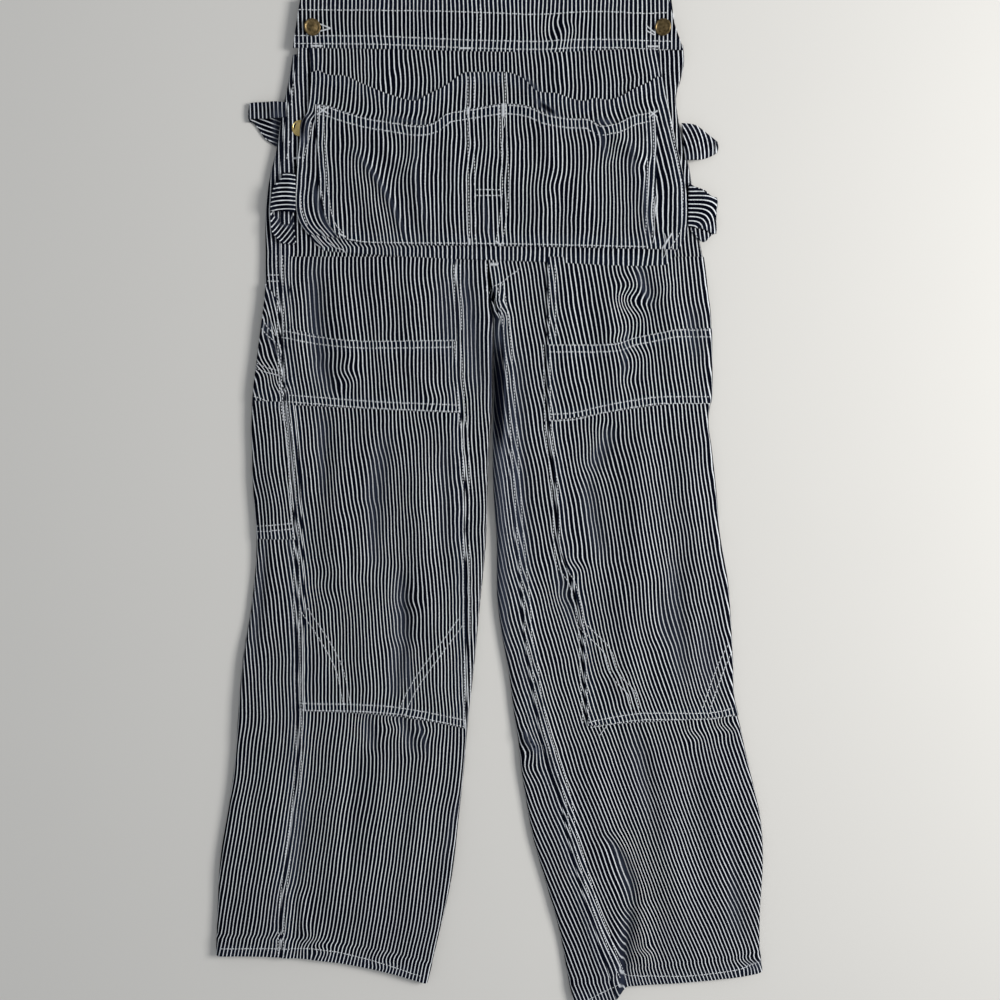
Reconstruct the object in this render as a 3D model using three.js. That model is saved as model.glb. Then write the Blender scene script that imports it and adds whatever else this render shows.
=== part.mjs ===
// Carpenter's bib overalls of striped cotton, laid flat, with a nail apron hanging over the hips.
// Millimetres. +X is the wearer's left, +Y is up the garment and +Z is up from the surface that it
// lies on, at z = 0. The origin is the centre of the waist, at the front waistband's lower edge.

import * as THREE from 'three';

// Cloth and seams
const CLOTH = 2.0;
const PATCH_CLOTH = 1.8;
const SEAM_GAP = 0.3;
const HALF_GAP = SEAM_GAP / 2;

// How the legs lie: the front's upper face, and the round edge where the tube is folded flat
const LIE_HEIGHT = 7.5;
const EDGE_RADIUS = LIE_HEIGHT / 2;
const QUARTER_ARC = (Math.PI / 2) * EDGE_RADIUS;
const EIGHTH_ARC = QUARTER_ARC / 2;
const CRUMPLE = 0.8;

// Main lengths up and down the garment
const CROTCH_Y = -258;
const BACK_WAIST_Y = -6;
const PANEL_TOP_Y = -227;
const WAISTBAND_DEPTH = 50;
const BIB_TOP_Y = 340;
const BACK_TOP_Y = 430;
const SHOULDER_FOLD_Y = 610;

// Waistband, bib, straps and their metalwork
const WAISTBAND_TOP_Z = 9.3;
const WAISTBAND_THICK = 2.6;
const BIB_TOP_Z = 6;
const STRAP_WIDTH = 38;
const STRAP_THICK = 1.8;
const STRAP_X = 100;
const BAR_Y = 375;
const PLATE_THICK = 2;
const PLATE_Z = BIB_TOP_Z + 0.4;
const BAR_HALF_WIDTH = 1.2;
const HOOK_RADIUS = 3.7;
const STRAP_END_Y = 408;
const METAL_MARGIN = 4;
const BUCKLE = { shoulderDrop: 14, slotDrop: 11, eyeRadius: 15, holeRadius: 10 };
const SLIDE = { y: 400, halfHeight: 13, rim: 3, slotFeet: [-10, 1.5], slotHeight: 8.5, thick: 1.6 };
const CURVE_SEGMENTS = 8;
const BUTTON_RADIUS = 8.6;
const BUTTON_SIDES = 16;
const BIB_BUTTON_Y = 318;
const WAIST_BUTTON_X = 182;
const WAIST_BUTTON_Y = 20;
const SIDE_BUTTON = { x: -201, y: -80 };

// Profile of a button: share of its radius, and height
const BUTTON_PROFILE = [
  { share: 0, z: 0 }, { share: 0.9, z: 0 }, { share: 1, z: 1 }, { share: 1, z: 2.4 },
  { share: 0.9, z: 3.4 }, { share: 0.72, z: 2.6 }, { share: 0.35, z: 3 }, { share: 0, z: 3.2 },
];

// Hammer loops: their cloth, and the radius at which they fold back on themselves
const LOOP_THICK = 1.5;
const LOOP_FOLD = 2.2;

// Steps of the grids, and the columns of the fronts that carry patches
const BOTTOM_STEPS = 5;
const EDGE_PLACES = 6;
const PATCH_STEPS = 7;
const RIGHT_PATCH_COLUMNS = [1, 9];
const LEFT_PATCH_COLUMNS = [4, 12];
const STRIP_COLUMNS = [BOTTOM_STEPS + EDGE_PLACES - 1, BOTTOM_STEPS + EDGE_PLACES + 1];
const POCKET_INSET = 1.5;
const APRON_EDGE_X = 190;
const APRON_COLUMNS = 13;
const APRON_BODY_ROWS = 5;
const WAISTBAND_STEPS = 8;
const PANEL_STEPS = 6;

// Finishes
const finish = (color, roughness, metalness) => ({ color, roughness, metalness });
const STRIPED = finish(0x4d535e, 0.92, 0);
const AGED_BRASS = finish(0x7a6233, 0.42, 1);
const BRIGHT_BRASS = finish(0xb08d3e, 0.3, 1);
const STEEL = finish(0xa6a49c, 0.35, 1);

// Sections of the wearer's right leg: its outer edge, the outseam and the patches' inner edge on
// the front, and its inner edge, which is the centre seam above the crotch.
const RIGHT_LEG = [
  { y: 0, side: -207, seam: -201, patch: -40, inner: 0 },
  { y: -63, side: -215, seam: -209, patch: -40, inner: 0 },
  { y: -102, side: -222, seam: -215, patch: -40, inner: 0 },
  { y: -133, side: -230, seam: -218, patch: -40, inner: 0 },
  { y: -170, side: -235, seam: -218, patch: -40, inner: 1 },
  { y: -219, side: -236, seam: -217, patch: -39, inner: 2 },
  { y: -258, side: -238, seam: -218, patch: -37, inner: 2.5 },
  { y: -275, side: -240, seam: -218, patch: -36, inner: 5 },
  { y: -323, side: -247, seam: -218, patch: -33, inner: 5 },
  { y: -366, side: -253, seam: -217, patch: -31, inner: 4 },
  { y: -407, side: -255, seam: -213, patch: -29, inner: 1 },
  { y: -452, side: -255, seam: -210, patch: -27, inner: -1 },
  { y: -518, side: -252, seam: -208, patch: -27, inner: -3 },
  { y: -590, side: -259, seam: -206, patch: -27, inner: -10 },
  { y: -650, side: -269, seam: -210, patch: -28, inner: -16 },
  { y: -720, side: -276, seam: -212, patch: -32, inner: -24 },
  { y: -766, side: -280, seam: -211, patch: -40, inner: -28 },
  { y: -821, side: -288, seam: -216, patch: -50, inner: -34 },
  { y: -888, side: -300, seam: -225, patch: -62, inner: -42 },
  { y: -950, side: -305, seam: -232, patch: -76, inner: -56 },
  { y: -1027, side: -308, seam: -233, patch: -96, inner: -77 },
];

// Sections of the wearer's left leg, whose inseam is turned onto the front by a little at the
// crotch and more towards the hem. The columns are those of the right leg.
const LEFT_LEG = [
  { y: 0, side: 203, seam: 0, patch: 63, inner: 0 },
  { y: -70, side: 204, seam: 0, patch: 63, inner: 0 },
  { y: -120, side: 213, seam: 0, patch: 63, inner: 0 },
  { y: -185, side: 222, seam: 1, patch: 63, inner: 1 },
  { y: -219, side: 229, seam: 2, patch: 63, inner: 2 },
  { y: -258, side: 234, seam: 2.5, patch: 63, inner: 2.5 },
  { y: -275, side: 236, seam: 14, patch: 63, inner: 14 },
  { y: -323, side: 238, seam: 18, patch: 64, inner: 16 },
  { y: -366, side: 239, seam: 22, patch: 65, inner: 17 },
  { y: -398, side: 236, seam: 24, patch: 66, inner: 15 },
  { y: -425, side: 240, seam: 24, patch: 70, inner: 10 },
  { y: -470, side: 246, seam: 27, patch: 75, inner: 9 },
  { y: -518, side: 251, seam: 31, patch: 80, inner: 10 },
  { y: -564, side: 260, seam: 37, patch: 92, inner: 10 },
  { y: -614, side: 265, seam: 41, patch: 101, inner: 15 },
  { y: -658, side: 268, seam: 47, patch: 104, inner: 23 },
  { y: -704, side: 271, seam: 54, patch: 108, inner: 29 },
  { y: -735, side: 279, seam: 60, patch: 111, inner: 34 },
  { y: -766, side: 286, seam: 68, patch: 117, inner: 37 },
  { y: -798, side: 294, seam: 76, patch: 124, inner: 42 },
  { y: -842, side: 304, seam: 90, patch: 134, inner: 50 },
  { y: -898, side: 308, seam: 108, patch: 146, inner: 66 },
  { y: -955, side: 306, seam: 124, patch: 158, inner: 82 },
  { y: -1000, side: 307, seam: 138, patch: 166, inner: 92 },
  { y: -1045, side: 314, seam: 150, patch: 172, inner: 104 },
];

// Rows across each leg: y at the outer edge, how far the row drops by the inner edge, and how that
// drop is spread (1 is a straight row). Rows named here are the edges of what is sewn on.
const RIGHT_ROWS = [
  { y: -HALF_GAP }, { y: -50 }, { y: -100 }, { y: -150 }, { y: -190 },
  { y: PANEL_TOP_Y, edge: 'panelTop' }, { y: CROTCH_Y, edge: 'pocketTop' },
  { y: -270, drop: -6 }, { y: -291, drop: -9, edge: 'bandTop' }, { y: -330, drop: -9 },
  { y: -367, drop: -9, edge: 'bandFoot' }, { y: -402, drop: -8 }, { y: -442, drop: -6 },
  { y: -482, drop: -6 }, { y: -520, drop: -6, edge: 'pocketFoot' }, { y: -560, drop: -6 },
  { y: -600, drop: -8 }, { y: -640, drop: -12 }, { y: -678, drop: -16 },
  { y: -710, drop: -19, edge: 'kneeFoot' }, { y: -752, drop: -20 }, { y: -796, drop: -22 },
  { y: -840, drop: -24 }, { y: -884, drop: -26, spread: 1.4 }, { y: -926, drop: -29, spread: 1.8 },
  { y: -962, drop: -32, spread: 2.2 }, { y: -993, drop: -34, spread: 2.6 },
];
const LEFT_ROWS = [
  { y: -HALF_GAP }, { y: -50 }, { y: -100 }, { y: -150 }, { y: -190 },
  { y: PANEL_TOP_Y, edge: 'panelTop' }, { y: CROTCH_Y },
  { y: -266, drop: -10 }, { y: -287, drop: -18, edge: 'bandTop' }, { y: -330, drop: -18 },
  { y: -371, drop: -20, edge: 'bandFoot' }, { y: -404, drop: -18 }, { y: -442, drop: -16 },
  { y: -482, drop: -14 }, { y: -522, drop: -12 }, { y: -562, drop: -10 }, { y: -602, drop: -10 },
  { y: -640, drop: -12 }, { y: -678, drop: -14 }, { y: -712, drop: -15, edge: 'kneeFoot' },
  { y: -756, drop: -16 }, { y: -800, drop: -18 }, { y: -844, drop: -20, spread: 0.9 },
  { y: -888, drop: -23, spread: 0.8 }, { y: -934, drop: -26, spread: 0.7 },
  { y: -976, drop: -30, spread: 0.6 }, { y: -1012, drop: -33, spread: 0.5 },
];

// The largest folds of the legs: middle, length, width, height (a trough is below 0) and the way
// the fold runs, in degrees from straight down the leg.
const LEG_FOLDS = [
  { x: -180, y: -300, length: 170, width: 17, height: -2.2, turn: 3 },
  { x: -150, y: -290, length: 130, width: 22, height: 2.4, turn: 4 },
  { x: -75, y: -310, length: 150, width: 30, height: 2.2, turn: -3 },
  { x: -178, y: -420, length: 120, width: 16, height: -2, turn: 0 },
  { x: -150, y: -480, length: 240, width: 26, height: 3, turn: 4 },
  { x: -112, y: -490, length: 200, width: 17, height: -2.4, turn: 7 },
  { x: -70, y: -520, length: 260, width: 26, height: 3, turn: -3 },
  { x: -95, y: -640, length: 170, width: 18, height: -2, turn: 0 },
  { x: -150, y: -800, length: 260, width: 34, height: 3, turn: -5 },
  { x: -90, y: -880, length: 200, width: 26, height: 2.4, turn: -9 },
  { x: -255, y: -760, length: 240, width: 22, height: 2, turn: 6 },
  { x: 45, y: -470, length: 260, width: 16, height: -2.2, turn: -4 },
  { x: 110, y: -320, length: 130, width: 26, height: 2.4, turn: 4 },
  { x: 165, y: -310, length: 110, width: 18, height: -1.8, turn: -6 },
  { x: 205, y: -420, length: 280, width: 24, height: 2.4, turn: -5 },
  { x: 118, y: -470, length: 170, width: 18, height: -2.2, turn: -8 },
  { x: 160, y: -520, length: 220, width: 26, height: 3, turn: -6 },
  { x: 215, y: -640, length: 180, width: 26, height: 2.6, turn: -8 },
  { x: 150, y: -640, length: 150, width: 24, height: 2.2, turn: -6 },
  { x: 200, y: -850, length: 240, width: 34, height: 3.2, turn: -8 },
  { x: 140, y: -900, length: 200, width: 18, height: -2.6, turn: -14 },
  { x: 262, y: -900, length: 180, width: 24, height: 2.2, turn: -4 },
];

// Sections of the nail apron: the outer edges of its base and of the front pocket piece
const APRON = [
  { y: 0, left: -186, pocketLeft: -181, pocketRight: 170, right: 177 },
  { y: -25, left: -185, pocketLeft: -181, pocketRight: 173, right: 181 },
  { y: -65, left: -186, pocketLeft: -181, pocketRight: 176, right: 190 },
  { y: -92, left: -193, pocketLeft: -180, pocketRight: 177, right: 196 },
  { y: -123, left: -201, pocketLeft: -179, pocketRight: 177, right: 204 },
  { y: -149, left: -203, pocketLeft: -177, pocketRight: 177, right: 209 },
  { y: -176, left: -200, pocketLeft: -169, pocketRight: 176, right: 211 },
  { y: -191, left: -190, pocketLeft: -158, pocketRight: 173, right: 209 },
  { y: -204, left: -178, pocketLeft: -150, pocketRight: 170, right: 203 },
  { y: -212, left: -161, pocketLeft: -142, pocketRight: 166, right: 197 },
  { y: -224, left: -150, pocketLeft: -135, pocketRight: 162, right: 188 },
];

// Curved edges across the apron: the two pocket mouths, the front pocket's foot and the base's foot
const REAR_MOUTH = [
  { x: -186, y: -24 }, { x: -148, y: -28 }, { x: -101, y: -47 }, { x: -76, y: -53 }, { x: -42, y: -37 },
  { x: -22, y: -24 }, { x: 28, y: -26 }, { x: 51, y: -44 }, { x: 101, y: -53 }, { x: 137, y: -49 },
  { x: 168, y: -34 }, { x: 190, y: -29 },
];
const FRONT_MOUTH = [
  { x: -186, y: -57 }, { x: -153, y: -64 }, { x: -101, y: -75 }, { x: -72, y: -79 }, { x: -42, y: -66 },
  { x: 17, y: -57 }, { x: 59, y: -67 }, { x: 104, y: -74 }, { x: 132, y: -77 }, { x: 153, y: -68 },
  { x: 190, y: -63 },
];
const POCKET_FOOT = [
  { x: -190, y: -191 }, { x: -126, y: -199 }, { x: -9, y: -202 }, { x: 56, y: -203 }, { x: 205, y: -204 },
];
const APRON_FOOT = [
  { x: -161, y: -209 }, { x: -88, y: -214 }, { x: 56, y: -219 }, { x: 188, y: -224 },
];

// The apron's own folds, all raised, in the columns of LEG_FOLDS
const APRON_FOLDS = [
  { x: -115, y: -135, length: 150, width: 15, height: 3.4, turn: 32 },
  { x: -60, y: -110, length: 90, width: 20, height: 2.6, turn: 12 },
  { x: 95, y: -100, length: 110, width: 26, height: 3.2, turn: -30 },
  { x: 150, y: -120, length: 130, width: 20, height: 3, turn: 16 },
  { x: 60, y: -150, length: 100, width: 24, height: 2.4, turn: 24 },
];

// Half widths of the back above the waist, and the edges of the waistband and bib above it
const BACK = [
  { y: BACK_WAIST_Y, half: 200 }, { y: 40, half: 193 }, { y: 95, half: 184 }, { y: 160, half: 160 },
  { y: 235, half: 123 }, { y: 310, half: 88 }, { y: 375, half: 60 }, { y: BACK_TOP_Y, half: 45 },
];
const WAISTBAND = [
  { y: HALF_GAP, left: -203, right: 203 }, { y: 25, left: -199, right: 193 },
  { y: WAISTBAND_DEPTH - HALF_GAP, left: -194, right: 186 },
];
const BIB = [
  { y: WAISTBAND_DEPTH + HALF_GAP, left: -194, right: 186 }, { y: 85, left: -182, right: 178 },
  { y: 130, left: -162, right: 160 }, { y: 185, left: -146, right: 146 }, { y: 250, left: -134, right: 134 },
  { y: BIB_TOP_Y, left: -128, right: 128 },
];

// Stations of the hammer loops, in order along each band: the two ends of a line across it and its
// height. A band runs out under its fold and comes back over it.
const LOOPS = [
  {
    name: 'hammer_loop_right_upper',
    run: [-1, 0],
    under: [
      { ax: -222.6, ay: -58, bx: -222.6, by: -100, z: 0 },
      { ax: -234, ay: -58, bx: -234, by: -92, z: 0 },
      { ax: -250, ay: -60, bx: -250, by: -74, z: 0 },
    ],
    over: [
      { ax: -250, ay: -55, bx: -250, by: -71, z: 4.4 },
      { ax: -236, ay: -54, bx: -236, by: -71, z: 5.6 },
      { ax: -222, ay: -54, bx: -222, by: -71, z: 9.3 },
      { ax: -211, ay: -55, bx: -211, by: -70, z: 9.3 },
    ],
  },
  {
    name: 'hammer_loop_right_lower',
    run: [0, 1],
    under: [
      { ax: -222, ay: -197, bx: -206, by: -199, z: 7.8 },
      { ax: -229, ay: -166, bx: -206, by: -168, z: 7.8 },
      { ax: -215, ay: -130, bx: -206, by: -130, z: 7.8 },
    ],
    over: [
      { ax: -215, ay: -130, bx: -206, by: -130, z: 12.2 },
      { ax: -226, ay: -146, bx: -206, by: -146, z: 12.6 },
      { ax: -230, ay: -163, bx: -207, by: -164, z: 12.6 },
    ],
  },
  {
    name: 'hammer_loop_left_upper',
    run: [1, 0],
    under: [
      { ax: 214, ay: -78, bx: 214, by: -113, z: 0 },
      { ax: 228, ay: -85, bx: 228, by: -112, z: 0 },
      { ax: 240, ay: -94, bx: 240, by: -106, z: 0 },
    ],
    over: [
      { ax: 240, ay: -93, bx: 240, by: -107, z: 4.4 },
      { ax: 229, ay: -85, bx: 229, by: -112, z: 5.6 },
      { ax: 217, ay: -78, bx: 219, by: -114, z: 9.3 },
      { ax: 203, ay: -76, bx: 207, by: -114, z: 9.3 },
    ],
  },
  {
    name: 'hammer_loop_left_lower',
    run: [1, 0],
    under: [
      { ax: 214, ay: -140, bx: 214, by: -187, z: 7.8 },
      { ax: 228, ay: -145, bx: 228, by: -199, z: 7.8 },
      { ax: 240, ay: -152, bx: 240, by: -190, z: 3 },
    ],
    over: [
      { ax: 240, ay: -152, bx: 240, by: -190, z: 7.4 },
      { ax: 228, ay: -147, bx: 228, by: -186, z: 12.2 },
      { ax: 216, ay: -140, bx: 216, by: -184, z: 12.2 },
    ],
  },
];

// Value of a column in a table, between its rows, along one of its other columns
function between(table, along, value, column) {
  const rising = table[1][along] > table[0][along];
  const passed = (row) => (rising ? row[along] > value : row[along] < value);
  let next = table.findIndex(passed);
  if (next < 0) next = table.length - 1;
  next = Math.max(next, 1);
  const a = table[next - 1];
  const b = table[next];
  const f = THREE.MathUtils.clamp((value - a[along]) / (b[along] - a[along]), 0, 1);
  return a[column] + (b[column] - a[column]) * f;
}

// Height that a table of soft folds adds at a place
function foldHeight(folds, x, y) {
  let total = 0;
  for (const fold of folds) {
    const turn = THREE.MathUtils.degToRad(fold.turn);
    const dx = x - fold.x;
    const dy = y - fold.y;
    const across = dx * Math.cos(turn) + dy * Math.sin(turn);
    const along = -dx * Math.sin(turn) + dy * Math.cos(turn);
    const reach = Math.max(0, 1 - (2 * along / fold.length) ** 2);
    total += fold.height * reach * reach * Math.exp(-((across / fold.width) ** 2));
  }
  return total;
}

// Closed wall of cloth on a grid of places, each with its outward direction. The wall's two faces
// lie at the given distances out from the grid.
function wall(grid, outer, inner) {
  const rows = grid.length;
  const columns = grid[0].length;
  const positions = [];
  for (const distance of [outer, inner]) {
    for (const row of grid) {
      for (const { at, out } of row) {
        positions.push(at.x + out.x * distance, at.y + out.y * distance, at.z + out.z * distance);
      }
    }
  }
  const face = rows * columns;
  const index = [];
  const quad = (a, b, c, d) => index.push(a, b, c, a, c, d);
  for (let i = 0; i < rows - 1; i += 1) {
    for (let j = 0; j < columns - 1; j += 1) {
      const a = i * columns + j;
      const b = a + columns;
      quad(a, b, b + 1, a + 1);
      quad(face + a, face + a + 1, face + b + 1, face + b);
    }
  }
  const rim = [];
  for (let j = 0; j < columns - 1; j += 1) rim.push(j);
  for (let i = 0; i < rows - 1; i += 1) rim.push(i * columns + columns - 1);
  for (let j = columns - 1; j > 0; j -= 1) rim.push((rows - 1) * columns + j);
  for (let i = rows - 1; i > 0; i -= 1) rim.push(i * columns);
  rim.forEach((a, k) => {
    const b = rim[(k + 1) % rim.length];
    quad(a, b, face + b, face + a);
  });
  const geometry = new THREE.BufferGeometry();
  geometry.setAttribute('position', new THREE.Float32BufferAttribute(positions, 3));
  geometry.setIndex(outwardIndex(positions, index));
  geometry.computeVertexNormals();
  return geometry;
}

// The same triangles, turned about if they enclose a negative volume
function outwardIndex(positions, index) {
  const corner = (k) => new THREE.Vector3().fromArray(positions, 3 * index[k]);
  let volume = 0;
  for (let k = 0; k < index.length; k += 3) {
    volume += corner(k).dot(corner(k + 1).cross(corner(k + 2)));
  }
  if (volume > 0) return index;
  return index.map((_, k) => index[k - (k % 3) + [0, 2, 1][k % 3]]);
}

const place = (x, y, z, outX, outY, outZ) => ({
  at: new THREE.Vector3(x, y, z),
  out: new THREE.Vector3(outX, outY, outZ),
});
const onTop = (x, y, z) => place(x, y, z, 0, 0, 1);
const onFloor = (x, y) => place(x, y, 0, 0, 0, -1);

// One leg with its half of the hips, as rows of a tube folded flat
class Leg {
  constructor(sections, rows) {
    this.sections = sections;
    this.rows = rows;
    // 1 where the leg's outer edge is at its +X side, -1 where it is at its -X side
    this.hand = Math.sign(sections[0].side);
  }

  row(edge) {
    return this.rows.findIndex((row) => row.edge === edge);
  }

  value(row, column) {
    return between(this.sections, 'y', row.y + (row.drop ?? 0) / 2, column);
  }

  // y of a row at a place across it
  yAt(row, x) {
    const side = this.value(row, 'side');
    const inner = this.value(row, 'inner');
    const f = THREE.MathUtils.clamp((x - side) / (inner - side), 0, 1);
    return row.y + (row.drop ?? 0) * f ** (row.spread ?? 1);
  }

  top(row, x) {
    const y = this.yAt(row, x);
    return onTop(x, y, LIE_HEIGHT + foldHeight(LEG_FOLDS, x, y));
  }

  // Place on a folded edge: arc runs from the underside, up round the edge and on over the front
  round(row, edgeX, inward, arc) {
    const tangentX = edgeX + inward * EDGE_RADIUS;
    if (arc >= 2 * QUARTER_ARC) return this.top(row, tangentX + inward * (arc - 2 * QUARTER_ARC));
    const angle = arc / EDGE_RADIUS - Math.PI / 2;
    const y = this.yAt(row, tangentX);
    const high = this.top(row, tangentX).at.z / 2;
    const x = tangentX - inward * EDGE_RADIUS * Math.cos(angle);
    return place(x, y, high + high * Math.sin(angle), -inward * Math.cos(angle), 0, Math.sin(angle));
  }

  closed(row) {
    return row.y < CROTCH_Y;
  }

  // Arc length from the underside to the seam that lies at or near an edge
  seamArc(row, edgeColumn) {
    const edge = this.value(row, edgeColumn);
    const strip = Math.abs(this.value(row, 'seam') - edge);
    const low = edgeColumn === 'side' ? 2 * QUARTER_ARC + 1 : QUARTER_ARC;
    return Math.max(low, Math.min(strip + QUARTER_ARC, 2 * QUARTER_ARC + strip - EDGE_RADIUS));
  }
}

// Columns of the back round an edge, from the underside to the seam
function edgeArcs(end, count) {
  const arcs = [];
  for (let k = 0; k < count; k += 1) {
    arcs.push(Math.min(k * EIGHTH_ARC, end - (count - 1 - k) * CRUMPLE));
  }
  arcs[count - 1] = end;
  return arcs;
}

// Grid of a leg's front. seamOn says which edge the seam that shows lies by.
function frontGrid(leg, seamOn) {
  const seamInward = seamOn === 'side' ? -leg.hand : leg.hand;
  const otherOn = seamOn === 'side' ? 'inner' : 'side';
  return leg.rows.map((row) => {
    const patchX = leg.value(row, 'patch');
    const start = leg.seamArc(row, seamOn) + HALF_GAP;
    const open = seamOn === 'inner' && !leg.closed(row);
    const otherOpen = otherOn === 'inner' && !leg.closed(row);
    const seamEdge = leg.value(row, seamOn);
    const places = [];
    for (let k = 0; k < 3; k += 1) {
      const arc = start + k * EIGHTH_ARC;
      const flatX = seamEdge + seamInward * (HALF_GAP + k * EIGHTH_ARC);
      places.push(open ? leg.top(row, flatX) : leg.round(row, seamEdge, seamInward, arc));
    }
    const lastX = places[2].at.x;
    const otherEdge = leg.value(row, otherOn);
    const otherTangent = otherEdge - seamInward * EDGE_RADIUS;
    const patchFrom = seamOn === 'side' ? lastX : patchX;
    const patchTo = seamOn === 'side' ? patchX : otherTangent;
    if (seamOn === 'inner') {
      places.push(leg.top(row, (lastX + patchX) / 2));
      places.push(leg.top(row, patchX));
    }
    for (let k = 1; k <= PATCH_STEPS; k += 1) {
      places.push(leg.top(row, patchFrom + ((patchTo - patchFrom) * k) / PATCH_STEPS));
    }
    if (seamOn === 'side') {
      const flatEnd = otherEdge - seamInward * (HALF_GAP + 2 * EIGHTH_ARC);
      places.push(leg.top(row, otherOpen ? flatEnd : otherTangent));
    }
    for (const arc of [EIGHTH_ARC, 0]) {
      const flatX = otherEdge - seamInward * (HALF_GAP + arc);
      const arcUp = QUARTER_ARC + Math.max(arc, HALF_GAP);
      places.push(otherOpen ? leg.top(row, flatX) : leg.round(row, otherEdge, -seamInward, arcUp));
    }
    return places;
  });
}

// Grid of a leg's back, from the edge with the hidden seam, under the leg and up round the edge by
// which the other seam shows
function backGrid(leg, seamOn) {
  const inward = seamOn === 'side' ? -leg.hand : leg.hand;
  const otherOn = seamOn === 'side' ? 'inner' : 'side';
  const rows = leg.rows.map((row, i) => (i === 0 ? { ...row, y: BACK_WAIST_Y - SEAM_GAP } : row));
  return rows.map((row) => {
    const open = !leg.closed(row);
    const edge = leg.value(row, seamOn);
    const other = leg.value(row, otherOn);
    const end = leg.seamArc(row, seamOn) - HALF_GAP;
    const places = [];
    for (const arc of [2 * EIGHTH_ARC, EIGHTH_ARC]) {
      const flatX = other - inward * (HALF_GAP + 2 * EIGHTH_ARC - arc);
      const arcUp = Math.min(arc, QUARTER_ARC - HALF_GAP);
      const flat = otherOn === 'inner' && open;
      places.push(flat ? onFloor(flatX, leg.yAt(row, flatX)) : leg.round(row, other, -inward, arcUp));
    }
    const flatEdge = otherOn === 'inner' && open ? 2 * EIGHTH_ARC + HALF_GAP : EDGE_RADIUS;
    const from = other - inward * flatEdge;
    const flatSeam = seamOn === 'inner' && open;
    const to = flatSeam ? edge + inward * (HALF_GAP + end) : edge + inward * EDGE_RADIUS;
    for (let k = 0; k < BOTTOM_STEPS; k += 1) {
      const x = from + ((to - from) * k) / BOTTOM_STEPS;
      places.push(onFloor(x, leg.yAt(row, x)));
    }
    for (const arc of edgeArcs(end, EDGE_PLACES)) {
      const flatX = edge + inward * (HALF_GAP + end - arc);
      places.push(flatSeam ? onFloor(flatX, leg.yAt(row, flatX)) : leg.round(row, edge, inward, arc));
    }
    return places;
  });
}

// Part of a grid, drawn back from its neighbours by half a seam's gap where trim asks for it
function piece(grid, rows, columns, trim = {}) {
  const part = grid.slice(rows[0], rows[1] + 1).map((row) => row.slice(columns[0], columns[1] + 1));
  return part.map((row, i) => row.map(({ at, out }, j) => {
    const moved = at.clone();
    if (i === 0 && trim.top) moved.y -= HALF_GAP;
    if (i === part.length - 1 && trim.foot) moved.y += HALF_GAP;
    if (j === row.length - 1 && trim.last) moved.x += trim.last;
    return { at: moved, out };
  }));
}

const sewnOn = (grid, layer = 0) => {
  const under = SEAM_GAP + layer * (PATCH_CLOTH + SEAM_GAP);
  return wall(grid, under + PATCH_CLOTH, under);
};

// The garment
const garment = new THREE.Group();

function add(name, geometry, look) {
  const mesh = new THREE.Mesh(geometry, new THREE.MeshStandardMaterial(look));
  mesh.name = name;
  garment.add(mesh);
  return mesh;
}

// Legs and hips: each front meets its back at a seam that shows and one hidden at the other edge
const rightLeg = new Leg(RIGHT_LEG, RIGHT_ROWS);
const leftLeg = new Leg(LEFT_LEG, LEFT_ROWS);
const rightFront = frontGrid(rightLeg, 'side');
const leftFront = frontGrid(leftLeg, 'inner');
const rightBack = backGrid(rightLeg, 'side');
const leftBack = backGrid(leftLeg, 'inner');
add('front_right', wall(rightFront, 0, -CLOTH), STRIPED);
add('front_left', wall(leftFront, 0, -CLOTH), STRIPED);
add('back_right', wall(rightBack, 0, -CLOTH), STRIPED);
add('back_left', wall(leftBack, 0, -CLOTH), STRIPED);

// Thigh panel, band and knee patch sewn on each leg's front
function addPatches(side, leg, grid, columns) {
  const panelTop = leg.row('panelTop');
  const bandTop = leg.row('bandTop');
  const bandFoot = leg.row('bandFoot');
  const kneeFoot = leg.row('kneeFoot');
  const panel = piece(grid, [panelTop, bandTop], columns, { foot: true });
  const band = piece(grid, [bandTop, bandFoot], columns, { top: true, foot: true });
  const knee = piece(grid, [bandFoot, kneeFoot], columns, { top: true });
  add(`thigh_panel_${side}`, sewnOn(panel), STRIPED);
  add(`thigh_band_${side}`, sewnOn(band), STRIPED);
  add(`knee_patch_${side}`, sewnOn(knee), STRIPED);
}
addPatches('right', rightLeg, rightFront, RIGHT_PATCH_COLUMNS);
addPatches('left', leftLeg, leftFront, LEFT_PATCH_COLUMNS);

// Ruler pocket on the back's strip by the right outseam: a short upper piece and a long lower one
const pocketTop = rightLeg.row('pocketTop');
const pocketStep = rightLeg.row('bandFoot');
const pocketFoot = rightLeg.row('pocketFoot');
add('ruler_pocket_upper', sewnOn(piece(rightBack, [pocketTop, pocketStep], STRIP_COLUMNS,
  { foot: true, last: -POCKET_INSET })), STRIPED);
add('ruler_pocket_lower', sewnOn(piece(rightBack, [pocketStep, pocketFoot], STRIP_COLUMNS,
  { top: true, last: -POCKET_INSET })), STRIPED);

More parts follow.
